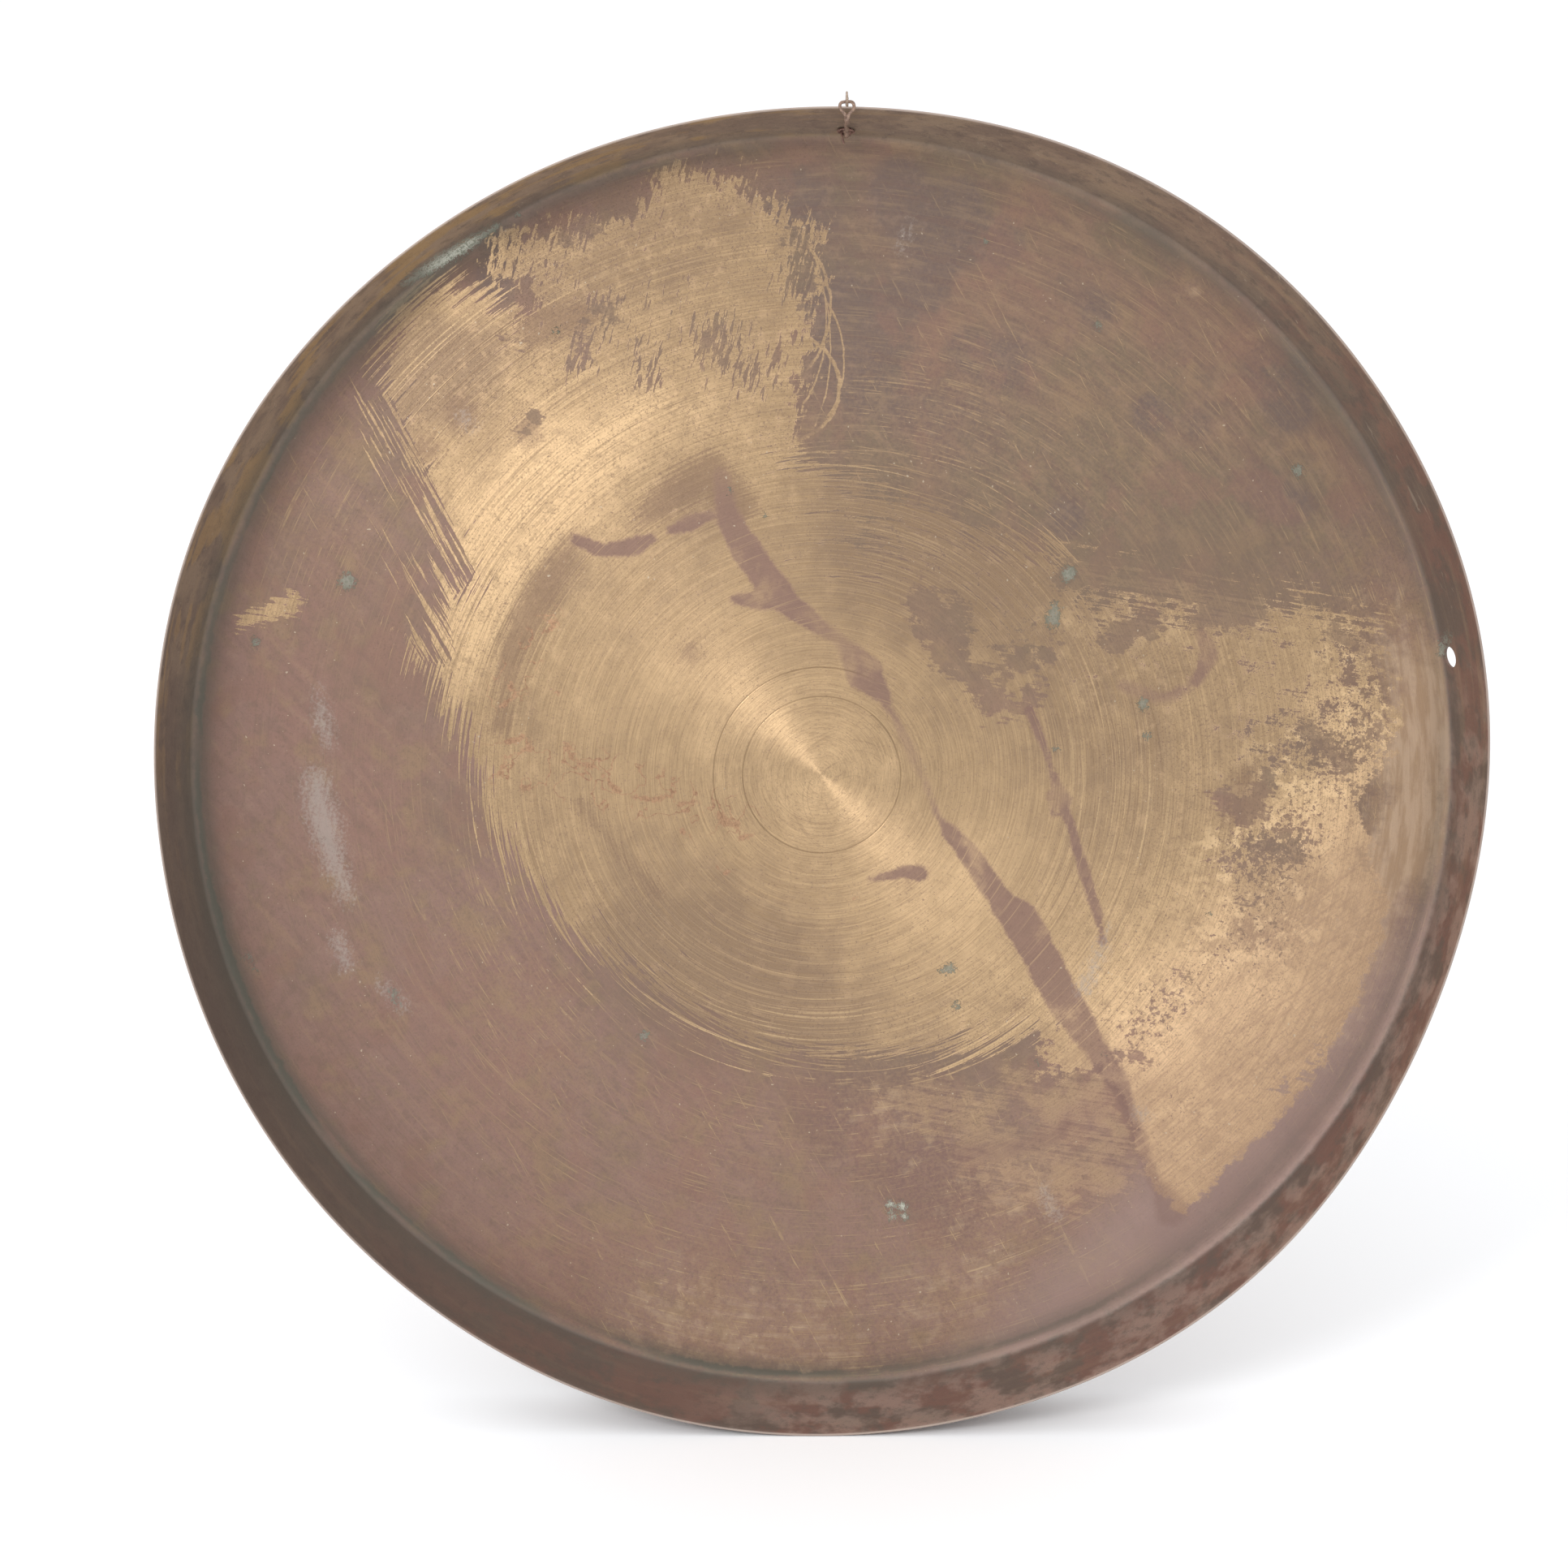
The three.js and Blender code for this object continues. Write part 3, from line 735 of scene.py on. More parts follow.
class BronzeGraph(Graph):
    """The dish's graph, with the places, noises and zones that its layers share."""

    def __init__(self, name):
        super().__init__(name)
        self.spot, self.x, self.y, self.z = self.place()
        self.mottled = self.noise(self.spot, 0.05, 4, 0.6)
        self.patchy = self.noise(self.spot, 0.16, 5, 0.65)
        self.grain = self.noise(self.spot, 0.7, 3, 0.7)
        self.dust = self.noise(self.spot, 2.2, 2, 0.8)
        self.pepper = self.noise(self.spot, 1.0, 3, 0.85)
        self.centre = self.from_centre(0, 0)
        self.radius, self.round_x, self.round_z = self.centre
        self.turning = self.arcs(self.centre, 1.6, 0.8)
        self.turning_fine = self.arcs(self.centre, 5, 1.5, 2)
        self.sweeps = self.arcs(self.from_centre(14, -10), 0.9, 0.9, 2)
        self.smears = self.arcs(self.centre, 10, 0.25, 4)
        self.rubbing = self.strokes(-9, 34, 1.5)
        self.slanting = self.strokes(-62, 40, 1.5)
        self.upright = self.strokes(76, 9, 1.6)
        slant = self.add(self.x, self.times(self.z, -1))
        self.lower_right = self.step(slant, 210, 300)
        self.lower_right_margin = self.step(slant, 315, 365)
        self.wall = self.step(self.times(self.y, -1), 4.4, 6.0)
        self.on_plate = self.rest(self.wall)
        self.inner = self.rest(self.attribute("outer"))
        self.dull = self.attribute("dull")
        self.ringed = self.attribute("ringed")

    def from_centre(self, centre_x, centre_z):
        """The distance from a centre, and the direction away from it as its x and z."""
        across, up = self.add(self.x, -centre_x), self.add(self.z, -centre_z)
        far = self.most(self.length(across, up), 1.0)
        return far, self.math("DIVIDE", across, far), self.math("DIVIDE", up, far)

    def arcs(self, centre, arc, across, detail=3):
        """Noise drawn out round a centre: arc steps to a radian, across steps to a millimetre."""
        far, round_x, round_z = centre
        outwards = self.times(self.add(far, self.y), across)
        drawn = self.vector(self.times(round_x, arc), outwards, self.times(round_z, arc))
        return self.noise(drawn, 1.0, detail, 0.6)

    def strokes(self, angle, length, width, detail=3):
        """Noise drawn out along straight strokes at an angle from +X, in mm."""
        c, s = math.cos(math.radians(angle)), math.sin(math.radians(angle))
        along = self.add(self.times(self.x, c / length), self.times(self.z, s / length))
        across = self.add(self.times(self.x, -s / width), self.times(self.z, c / width))
        wavering = self.add(across, self.times(self.patchy, 0.9))
        return self.noise(self.vector(along, wavering, self.times(self.y, 0.2)), 1.0, detail, 0.6)


def cloth_loops(g):
    """The thin loops that a rubbing cloth left."""
    loops = 0.0
    for centre_x, centre_z, half_width, half_height, least_x in LOOPS:
        across, up = g.times(g.add(g.x, -centre_x), half_height / half_width), g.add(g.z, -centre_z)
        off_line = g.size(g.add(g.length(across, up), g.sway(g.patchy, 0.35), -half_height))
        loop = g.times(g.step(off_line, 1.0, 0.4), g.step(g.x, least_x - 2, least_x + 2))
        loops = g.most(loops, g.times(loop, g.step(g.mottled, 0.3, 0.5), g.inner))
    return loops


def rubbed_zones(g):
    """Where metal is rubbed bare: each zone breaks up at its edge into marks of its own kind."""
    thin = g.times(g.dull, -13)
    swirl_marks = g.most(g.sway(g.turning, 8), g.sway(g.sweeps, 7))
    swirl_marks = g.blend(g.step(g.attribute("straight"), -6, 0), swirl_marks, g.sway(g.slanting, 12))
    swirl_edge = g.least(g.attribute("swirl"), 16)
    swirl = g.step(g.add(swirl_edge, swirl_marks, g.sway(g.patchy, 2.5), thin), -0.6, 1.6)
    block_edge = g.least(g.attribute("block"), 13)
    block_marks = (g.sway(g.upright, 3), g.sway(g.patchy, 3.5), g.sway(g.pepper, 2))
    block = g.step(g.add(block_edge, *block_marks, thin), -1, 1)
    side_edge = g.least(g.attribute("side"), 13)
    side_length = g.blend(g.step(g.z, 50, 80), g.blend(g.lower_right, 0.3, 0.05), 1.0)
    side_marks = g.times(g.sway(g.rubbing, 6), side_length)
    ragged = g.times(g.add(g.sway(g.patchy, 5), g.sway(g.pepper, 3)), g.blend(g.lower_right, 1.0, 0.3))
    side = g.step(g.add(side_edge, side_marks, ragged, thin), -1.2, 1.2)
    low_edge = g.least(g.attribute("low"), 10)
    low_marks = (g.sway(g.rubbing, 5), g.sway(g.mottled, 7), g.sway(g.patchy, 5))
    low = g.times(g.step(g.add(low_edge, *low_marks), -2, 16), 0.4)
    straight = g.step(g.add(g.attribute("straight"), g.sway(g.slanting, 11)), 14.5, 16)
    zones = g.most(g.most(swirl, low), g.most(block, side))
    return g.most(zones, g.times(g.most(straight, cloth_loops(g)), 0.85))


def bare_metal(g):
    """The share of bare metal once blotches, pits, the net and the ticks are taken off, and the pits."""
    blotch = g.add(g.attribute("blotch"), g.sway(g.patchy, 3), g.sway(g.rubbing, 1.5))
    bare = g.without(rubbed_zones(g), g.times(g.step(blotch, -1.5, 1.5), 0.8))
    bare = g.times(bare, g.on_plate)
    speckled = g.times(g.step(g.attribute("block"), -10, 6), 0.035)
    pits = g.step(g.add(g.pepper, g.times(g.least(g.dull, 1), 0.06), speckled), 0.62, 0.67)
    bare = g.without(bare, g.times(pits, 0.65))
    net = g.add(g.noise(g.spot, 0.34, 5, 0.75), g.times(g.attribute("network"), -0.13))
    bare = g.without(bare, g.times(g.step(net, 0.32, 0.29), 0.85))
    ticks = g.attribute("ticks")
    tick = g.step(g.add(g.upright, g.times(ticks, -0.17)), 0.345, 0.315)
    return g.without(bare, g.times(tick, g.step(ticks, 0.02, 0.2), 0.9)), pits


def drip_stains(g):
    """The share of brown where something dripped, soft where it is faint and rubbed through in places."""
    faint = g.attribute("faint")
    soft_edge = g.times(faint, 4)
    edge = g.add(g.attribute("stain"), g.sway(g.mottled, 0.8), g.sway(g.grain, 0.3))
    stain = g.step(edge, g.add(-1.0, g.times(soft_edge, -1)), g.add(1.2, soft_edge))
    rubbed_through = g.most(g.step(g.sweeps, 0.6, 0.68), g.step(g.mottled, 0.5, 0.7))
    return g.without(g.without(stain, faint), g.times(rubbed_through, 0.5))


def patina_colour(g):
    """The patina under and between the bare metal."""
    streaks = g.strokes(-48, 45, 5)
    cloudy = g.add(g.noise(g.spot, 0.012, 3), g.sway(g.mottled, 0.04))
    olive = g.math("ADD", g.attribute("olive"), g.sway(g.mottled, 0.22), clamp=True)
    patina = g.lay_all(g.mix(olive, (138, 110, 100), (121, 104, 87)), [
        (cloudy, 0.42, 0.6, (140, 107, 95), 0.5),
        (streaks, 0.52, 0.68, (122, 98, 88), 0.4),
        (streaks, 0.46, 0.32, (152, 124, 102), 0.35),
        (g.mottled, 0.52, 0.66, (150, 126, 96), 0.4),
    ])
    cloud = g.add(g.attribute("cloud"), g.sway(g.mottled, 0.06), g.sway(g.patchy, 0.07))
    shadow = g.mix(g.step(g.z, -100, 60), (122, 95, 88), (110, 94, 88))
    smeared = g.times(olive, g.step(g.z, -60, 160), 0.5)
    patina = g.lay_all(patina, [
        (cloud, 0.35, 0.85, shadow, 0.85),
        (g.patchy, 0.5, 0.66, (116, 97, 84), 0.35),
        (g.patchy, 0.46, 0.34, (154, 128, 110), 0.25),
        (g.smears, 0.52, 0.68, (150, 126, 102), smeared, 0.8),
        (g.smears, 0.48, 0.36, (114, 92, 84), smeared),
        (g.noise(g.spot, 0.028, 4, 0.6), 0.53, 0.62, (136, 104, 92), 0.45),
        (g.pepper, 0.5, 0.66, (108, 90, 80), 0.4),
        (g.turning, 0.44, 0.34, (118, 98, 86), 0.25),
        (g.dull, 0.1, 0.6, (122, 103, 87), 0.5),
    ])
    return worn_patina(g, patina)


def worn_patina(g, patina):
    """Fine scratches and half-worn patches over the patina, and its paler margin at the lower right."""
    worn = g.add(0.2, g.attribute("scratches"))
    swept = g.times(g.step(g.sweeps, 0.6, 0.66), g.add(g.ringed, 0.2))
    hairs = g.most(g.step(g.turning_fine, 0.58, 0.68), swept)
    hairs = g.most(hairs, g.step(g.slanting, 0.64, 0.68))
    hairs = g.times(hairs, g.step(g.add(g.patchy, g.sway(g.pepper, 0.04)), 0.4, 0.6))
    patina = g.lay(patina, (168, 142, 110), hairs, worn, 0.75)
    patina = g.lay(patina, (164, 136, 106), worn, g.step(g.grain, 0.4, 0.6), 0.2)
    half_worn = g.step(g.add(worn, g.sway(g.patchy, 0.2)), 1.2, 2.4)
    half_worn_tone = g.mix(g.step(g.smears, 0.4, 0.6), (168, 140, 112), (188, 162, 136))
    patina = g.lay(patina, half_worn_tone, half_worn, 0.8)
    return g.lay(patina, (168, 144, 136), g.lower_right_margin, 0.5)


def metal_colour(g):
    """The bare metal, with its turning marks, specks and brown films, and highlights painted in as brighter
    metal.
    """
    # Painted highlight in part: where this field is high the bare metal is drawn brighter. This covers the
    # crescent at the upper left, the middle and the wedge towards the lower right, as well as the metal's
    # own brighter and darker tones.
    tone_and_painted_highlight = g.add(g.attribute("tone_and_painted_highlight"), g.sway(g.turning_fine, 0.1), g.sway(g.mottled, 0.16))
    metal = g.mix(g.step(tone_and_painted_highlight, -1.1, 0.1), (152, 128, 105), (188, 159, 124))
    metal = g.mix(g.step(tone_and_painted_highlight, 0.0, 1.2), metal, (228, 194, 151))
    metal = g.lay(metal, (150, 124, 96), g.step(g.turning_fine, 0.5, 0.6), 0.4)
    ring_share = g.add(g.ringed, 0.15)
    dark_rings = g.most(g.step(g.sweeps, 0.4, 0.35), g.step(g.turning, 0.4, 0.35))
    metal = g.lay(metal, (134, 110, 90), dark_rings, ring_share, 0.45)
    grooves = g.arcs(g.centre, 1.3, 1.7, 2)
    uneven = g.add(0.35, g.times(g.step(g.radius, 90, 170), 0.65))
    veil = g.add(g.attribute("veil"), g.sway(g.mottled, 2), g.sway(g.sweeps, 2), g.sway(g.pepper, 1.2))
    metal = g.lay_all(metal, [
        (g.turning, 0.58, 0.66, (232, 200, 154), ring_share, 0.35),
        (grooves, 0.5, 0.66, (152, 127, 102), 0.22),
        (grooves, 0.48, 0.34, (224, 190, 146), 0.22),
        (g.pepper, 0.5, 0.62, (134, 110, 90), 0.5, uneven),
        (g.patchy, 0.52, 0.66, (146, 122, 100), 0.3, uneven),
        (g.patchy, 0.46, 0.36, (218, 184, 146), 0.25, uneven),
        (veil, -5, 5, (138, 113, 95), 0.65),
    ])
    flecks = g.times(g.step(g.noise(g.spot, 0.15, 4, 0.65), 0.5, 0.62), g.least(g.attribute("network"), 1))
    metal = g.lay(metal, (244, 210, 164), flecks, g.step(g.x, 90, 150), 0.6)
    metal = g.lay(metal, (198, 162, 138), g.lower_right, 0.3)
    rubbed = g.step(g.strokes(38, 22, 1.2), 0.5, 0.64)
    return g.lay(metal, (160, 130, 110), g.lower_right, rubbed, 0.35)


def scribed_rings(g):
    """Two thin rings scribed round the middle of the hollow side, the larger one only at its upper left."""
    near, far = (g.step(g.size(g.add(g.radius, -radius)), 0.5, 0.15) for radius in (36.5, 50))
    half_turn = g.step(g.add(g.round_z, g.times(g.round_x, -1)), 0.2, 0.9)
    return g.times(g.most(near, g.times(far, half_turn)), g.inner)


def lay_marks(g, colour, lime, ring_line):
    """Copper-coloured traces and dribbles, lime, pale specks and the scribed rings, on top."""
    trace = g.size(g.math("SUBTRACT", g.noise(g.spot, 0.06, 3, 0.55), 0.5))
    copper = g.times(g.step(trace, 0.014, 0.006), g.step(g.attribute("copper"), -3, 3), g.on_plate)
    dribble = g.add(g.attribute("dribble"), g.sway(g.patchy, 0.7), g.sway(g.grain, 0.4))
    copper = g.most(copper, g.step(dribble, -0.5, 0.5))
    copper_tone = g.mix(g.step(g.grain, 0.42, 0.58), (150, 112, 91), (186, 146, 116))
    colour = g.lay(colour, copper_tone, copper, 0.7)
    colour = g.lay(colour, (164, 154, 146), lime)
    colour = g.lay(colour, (196, 182, 160), g.step(g.noise(g.spot, 0.7, 0), 0.855, 0.88), 0.6)
    return g.lay(colour, (110, 88, 66), ring_line, 0.45)


def wall_crust_and_shade_colour(g):
    """The wall's darker colour, partly its uncleaned crust and partly painted shade: reddish at the lower
    right, paler at the top, gilded at the upper left, and with painted shade towards its foot.
    """
    marks = g.arcs(g.centre, 4, 0.22, 3)
    upper = g.step(g.round_z, -0.3, 0.7)
    reddish = g.step(g.add(g.times(g.round_x, 0.8), g.times(g.round_z, -0.6)), -0.5, 0.7)
    reddish_tone = g.mix(g.step(g.noise(g.spot, 0.04, 4, 0.65), 0.45, 0.58), (115, 84, 74), (96, 82, 74))
    gilded = g.add(g.noise(g.spot, 0.03, 3), g.sway(marks, 0.05))
    # These tones make the wall darker than the plate, partly for its uncleaned crust and partly as painted
    # shade on the wall.
    crust_and_shade = g.mix(g.step(g.mottled, 0.4, 0.6), (128, 109, 95), (150, 129, 109))
    crust_and_shade = g.mix(g.add(0.15, g.times(upper, 0.85)), (99, 87, 80), crust_and_shade)
    crust_and_shade = g.lay(crust_and_shade, reddish_tone, reddish, 0.85)
    crust_and_shade = g.lay(crust_and_shade, (160, 138, 126), g.lower_right, g.step(g.mottled, 0.42, 0.58), 0.5)
    return g.lay_all(crust_and_shade, [
        (marks, 0.5, 0.68, (150, 128, 104), g.add(0.12, g.times(upper, 0.4))),
        (g.patchy, 0.5, 0.66, (98, 83, 75), 0.4),
        (g.turning_fine, 0.6, 0.68, (156, 136, 112), upper, 0.3),
        (gilded, 0.54, 0.62, (162, 133, 94), upper, g.step(g.x, 60, -60), 0.8),
        (g.add(g.pepper, g.sway(g.patchy, 0.05)), 0.52, 0.66, (94, 79, 72), 0.4),
        (g.slanting, 0.66, 0.7, (164, 150, 132), upper, 0.5),
        (g.add(g.attribute("scrapes"), g.sway(g.patchy, 0.6)), -0.4, 0.4, (186, 178, 166), 0.7),
        # Painted shade: the wall turns darker towards its foot, in the corner where it meets the plate.
        (g.add(g.y, g.sway(g.mottled, 2)), -20, -6, (92, 80, 72), 0.35),
    ])


def lay_corner_and_rim(g, colour, verdigris):
    """Green-grey dirt in the corner, verdigris that is paler where metal shines, and a painted highlight
    along the rim's cut edge.
    """
    off_corner = g.size(g.add(g.attribute("corner"), g.sway(g.patchy, 0.5)))
    dirt = g.times(g.attribute("dirt"), g.step(g.arcs(g.centre, 3, 0.1, 2), 0.2, 0.5))
    corner = g.add(g.times(g.step(off_corner, 10, 0), 0.5), g.times(g.step(off_corner, 2.4, 0.6), 0.3))
    colour = g.lay(colour, (98, 94, 84), corner, dirt)
    deposit = g.mix(g.step(g.attribute("tone_and_painted_highlight"), 1.0, 1.8), (142, 142, 130), (196, 198, 184))
    deposit = g.lay(deposit, (114, 119, 105), g.step(g.grain, 0.45, 0.6), 0.8)
    colour = g.lay(colour, deposit, verdigris, 0.8)
    # Painted highlight: a pale line along the rim's cut edge.
    return g.lay(colour, (172, 156, 146), g.step(g.times(g.y, -1), DEPTH - 0.8, DEPTH - 0.3), 0.8)


def bronze_material():
    g = BronzeGraph("aged_bronze")
    bare, pits = bare_metal(g)
    stain = drip_stains(g)
    ring_line = scribed_rings(g)
    lime = g.add(g.attribute("lime"), g.sway(g.grain, 2.2), g.sway(g.upright, 1))
    lime = g.times(g.step(lime, -2, 8), 0.55)
    verdigris = g.step(g.add(g.attribute("verdigris"), g.sway(g.grain, 1.0), g.sway(g.dust, 0.6)), 0.2, 1.2)
    colour = g.mix(bare, patina_colour(g), metal_colour(g))
    colour = g.lay(colour, g.mix(g.patchy, (114, 89, 82), (138, 108, 97)), stain, 0.85)
    colour = lay_marks(g, colour, lime, ring_line)
    colour = g.mix(g.wall, colour, wall_crust_and_shade_colour(g))
    colour = lay_corner_and_rim(g, colour, verdigris)

    polish = g.without(bare, stain)
    crusty = g.add(verdigris, lime, g.wall)
    roughness = g.add(0.54, g.times(polish, -0.18), g.sway(g.grain, 0.03), g.times(verdigris, 0.3))
    metallic = g.math("SUBTRACT", g.add(0.55, g.times(polish, 0.45)), g.times(crusty, 0.4), clamp=True)
    heights = [(g.turning_fine, 0.7), (g.turning, 0.6), (g.grain, 0.4), (bare, -0.3),
               (verdigris, 1.8), (g.dust, 0.2), (ring_line, -1.2), (pits, -0.5)]
    height = g.add(*(g.times(field, size) for field, size in heights))
    # Grooves run round the centre, so light spreads along the radius
    spread = g.node("ShaderNodeVectorTransform", vector_type="VECTOR",
                    convert_from="OBJECT", convert_to="WORLD")
    g.plug(spread.inputs[0], g.turn(g.vector(g.round_x, 0.0, g.round_z), -HANG_TILT))
    brushed = g.add(0.4, g.times(polish, g.add(0.15, g.times(g.step(g.radius, 130, 30), 0.3))))
    sockets = {"Base Color": colour, "Roughness": roughness, "Metallic": metallic, "Anisotropic": brushed}
    return g.finish(sockets, height, 0.07, spread.outputs[0])


# ---------------------------------------------------------------- wires

IRON_TONES = [(120, 99, 88), (158, 133, 117), (186, 159, 140)]
TARNISH_TONES = [(114, 86, 78), (148, 116, 104), (168, 138, 122)]
RING_TONES = [(140, 122, 108), (182, 166, 152), (164, 136, 114)]


def wire_material(name, tones, rough):
    """Rusted or tarnished wire: three tones broken up by scale, with pitted bump."""
    g = Graph(name)
    place, _, _, _ = g.place()
    scale = g.noise(place, 0.8, 4, 0.7)
    spots = g.noise(place, 2.6, 3, 0.7)
    colour = g.mix(g.step(scale, 0.38, 0.62), tones[0], tones[1])
    colour = g.lay(colour, tones[2], g.step(spots, 0.52, 0.66), 0.8)
    roughness = g.add(rough, g.sway(scale, 0.03))
    height = g.add(g.times(scale, 0.7), g.times(spots, 0.5))
    return g.finish({"Base Color": colour, "Roughness": roughness, "Metallic": 0.5}, height, 0.12)


def smooth_route(bends, steps):
    """A Catmull-Rom curve through the bends."""
    points = np.array([bends[0], *bends, bends[-1]], float)
    route = []
    for i in range(1, len(points) - 2):
        before, start, end, after = points[i - 1:i + 3]
        for t in np.linspace(0, 1, steps, endpoint=False):
            square = (2 * before - 5 * start + 4 * end - after) * t ** 2
            cube = (3 * start - before - 3 * end + after) * t ** 3
            route.append(0.5 * (2 * start + (end - before) * t + square + cube))
    route.append(points[-2])
    return np.array(route)


def tube(name, route, radius, seed, sides=10, lumps=0.05):
    """A closed round wire along a route, its radius slightly uneven, with domed ends."""
    rng = random.Random(seed)
    along = directions(route)
    side = np.cross(along[0], (0.31, 0.52, 0.79))
    points = []
    uneven = [rng.uniform(-lumps, lumps) for _ in range(len(route) // 3 + 3)]
    for i, (centre, forward) in enumerate(zip(route, along)):
        side = side - forward * side.dot(forward)
        side /= np.linalg.norm(side)
        up = np.cross(forward, side)
        swell = np.interp(i / 3, range(len(uneven)), uneven)
        end = min(i, len(route) - 1 - i)
        shrink = (0.55, 0.88)[end] if end < 2 else 1.0
        for k in range(sides):
            angle = 2 * math.pi * k / sides
            outwards = side * math.cos(angle) + up * math.sin(angle)
            points.append(centre + radius * (1 + swell) * shrink * outwards)
    faces = sleeve_faces(len(route), sides)
    faces.append(tuple(range(sides))[::-1])
    faces.append(tuple(range((len(route) - 1) * sides, len(route) * sides)))
    return mesh_from(name, points, faces)


def add_joined(name, meshes):
    """One smooth object, hung as the gong hangs, from the meshes of several wires."""
    joined = bmesh.new()
    for mesh in meshes:
        joined.from_mesh(mesh)
        bpy.data.meshes.remove(mesh)
    mesh = bpy.data.meshes.new(name)
    bmesh.ops.recalc_face_normals(joined, faces=joined.faces)
    joined.to_mesh(mesh)
    joined.free()
    mesh.shade_smooth()
    return add_object(name, mesh)


WIRE_RADIUS = 0.7
STRAND_SHIFT = 0.62
TWIST_PITCH = 7.5
EYE_Y = -53.0
EYE_TOP = 302.2
EYE_HALF_WIDTH = 3.15
STEM_TOP = 296.0
# The stem's bends from the eye to the hole and into it, as (y, z)
STEM_BENDS = [
    (EYE_Y, STEM_TOP + 0.4), (EYE_Y + 1.5, STEM_TOP - 1.1), (-44, 294.2), (-28, 291.8), (-17, 289.6),
    (-12.8, 289.9), (HOLE_Y, 291.6), (HOLE_Y, 295.0),
]


def from_hole(bends):
    """Bends whose x and y are given from the hanging hole."""
    return [(HANGER_X + x, HOLE_Y + y, z) for x, y, z in bends]


def build_hanger():
    """One wire bent double: an eye, two strands twisted into the stem, and the hook outside the wall."""
    stem = smooth_route([(HANGER_X, y, z) for y, z in STEM_BENDS], 14)
    gone = np.concatenate([[0], np.cumsum(np.linalg.norm(np.diff(stem, axis=0), axis=1))])
    flat = np.array((1.0, 0, 0))
    up = np.cross(directions(stem), flat)
    strands = []
    for phase in (math.pi, 0):
        turn = phase + 2 * math.pi * gone / TWIST_PITCH
        strands.append(stem + STRAND_SHIFT * (np.cos(turn)[:, None] * flat + np.sin(turn)[:, None] * up))
    left, right = HANGER_X - EYE_HALF_WIDTH, HANGER_X + EYE_HALF_WIDTH
    eye = [
        (left + 1.9, EYE_Y + 0.1, STEM_TOP + 1.4), (left + 0.3, EYE_Y, STEM_TOP + 3.2),
        (left + 0.1, EYE_Y - 0.1, STEM_TOP + 4.9), (left + 0.9, EYE_Y, EYE_TOP - 0.3),
        (HANGER_X, EYE_Y, EYE_TOP), (right - 0.9, EYE_Y, EYE_TOP - 0.2),
        (right - 0.1, EYE_Y + 0.1, STEM_TOP + 4.5), (right - 0.4, EYE_Y, STEM_TOP + 2.9),
        (right - 1.9, EYE_Y - 0.1, STEM_TOP + 1.3),
    ]
    hook = from_hole([(-0.2, -0.5, 296.3), (-0.2, -3, 297.3), (0, -7, 297.9), (0.1, -10.6, 298.5)])
    bends = [*strands[0][::-4], *eye, *strands[1][::4], *hook]
    wire = tube("hanger", smooth_route(bends, 5), WIRE_RADIUS, sides=14, lumps=0.08, seed=3)
    return add_joined("twisted_hanger", [wire])


BINDING_RADIUS = 0.48
KNOT_RADIUS = 0.45
WALL_SLOPE = math.radians(16)
COIL_BENDS = 56
COIL_START, COIL_STEP = 200, 28         # degrees
COIL_HALF_SIZE = (3.9, 2.9)
COIL_SHRINK = 0.58                      # how much smaller the coil is at its end
COIL_Z = 291.1
KNOT_BENDS = 24
KNOT_START, KNOT_STEP = -60, 36         # degrees
KNOT_HALF_SIZE = (2.1, 1.9)
KNOT_Z = 290.1


def coil_bends():
    """A flat coil, sloped as the wall is, that winds inwards and rises towards its end."""
    bends = []
    for k in range(COIL_BENDS):
        turn, share = math.radians(COIL_START + k * COIL_STEP), k / (COIL_BENDS - 1)
        size = 1 - COIL_SHRINK * share
        x = COIL_HALF_SIZE[0] * size * math.cos(turn)
        y = (COIL_HALF_SIZE[1] * size + 0.3) * math.sin(turn)
        lift = 0.2 + 0.15 * math.sin(k * 0.9) * size + 1.5 * share ** 1.5
        place_y = HOLE_Y - 1.4 + y * math.cos(WALL_SLOPE)
        bends.append((HANGER_X - 0.3 * size + x, place_y, COIL_Z - y * math.sin(WALL_SLOPE) + lift))
    return bends


def knot_bends():
    """The turns that hold the tail, below the coil."""
    bends = []
    for k in range(KNOT_BENDS):
        turn = math.radians(KNOT_START + k * KNOT_STEP)
        x, y = KNOT_HALF_SIZE[0] * math.cos(turn), KNOT_HALF_SIZE[1] * math.sin(turn)
        bends.append((HANGER_X - 0.2 + x, HOLE_Y - 2.2 + y, KNOT_Z + 0.05 * k - 0.5 * math.sin(turn)))
    return bends


def build_binding():
    """A thin wire wound round the stem into a flat coil against the wall, its free tail and a knot."""
    loops = tube("loops", smooth_route(coil_bends(), 4), BINDING_RADIUS, seed=5)
    tail_bends = from_hole([
        (-2.2, -3.4, 291.4), (-2.2, -4.2, 290.3), (-1.7, -4.9, 288.4), (-1.5, -5.1, 287.2),
        (-1.1, -5.2, 285.8),
    ])
    tail = tube("tail", smooth_route(tail_bends, 6), BINDING_RADIUS, seed=6)
    knot = tube("knot", smooth_route(knot_bends(), 4), KNOT_RADIUS, seed=8)
    return add_joined("binding_loops", [loops, tail, knot])


RING_RADIUS = 2.86
RING_WIRE_RADIUS = 0.5
RING_BENDS = 30
RING_START, RING_STEP = -70, 15.5       # degrees
RING_HALF_SHIFT = 0.26


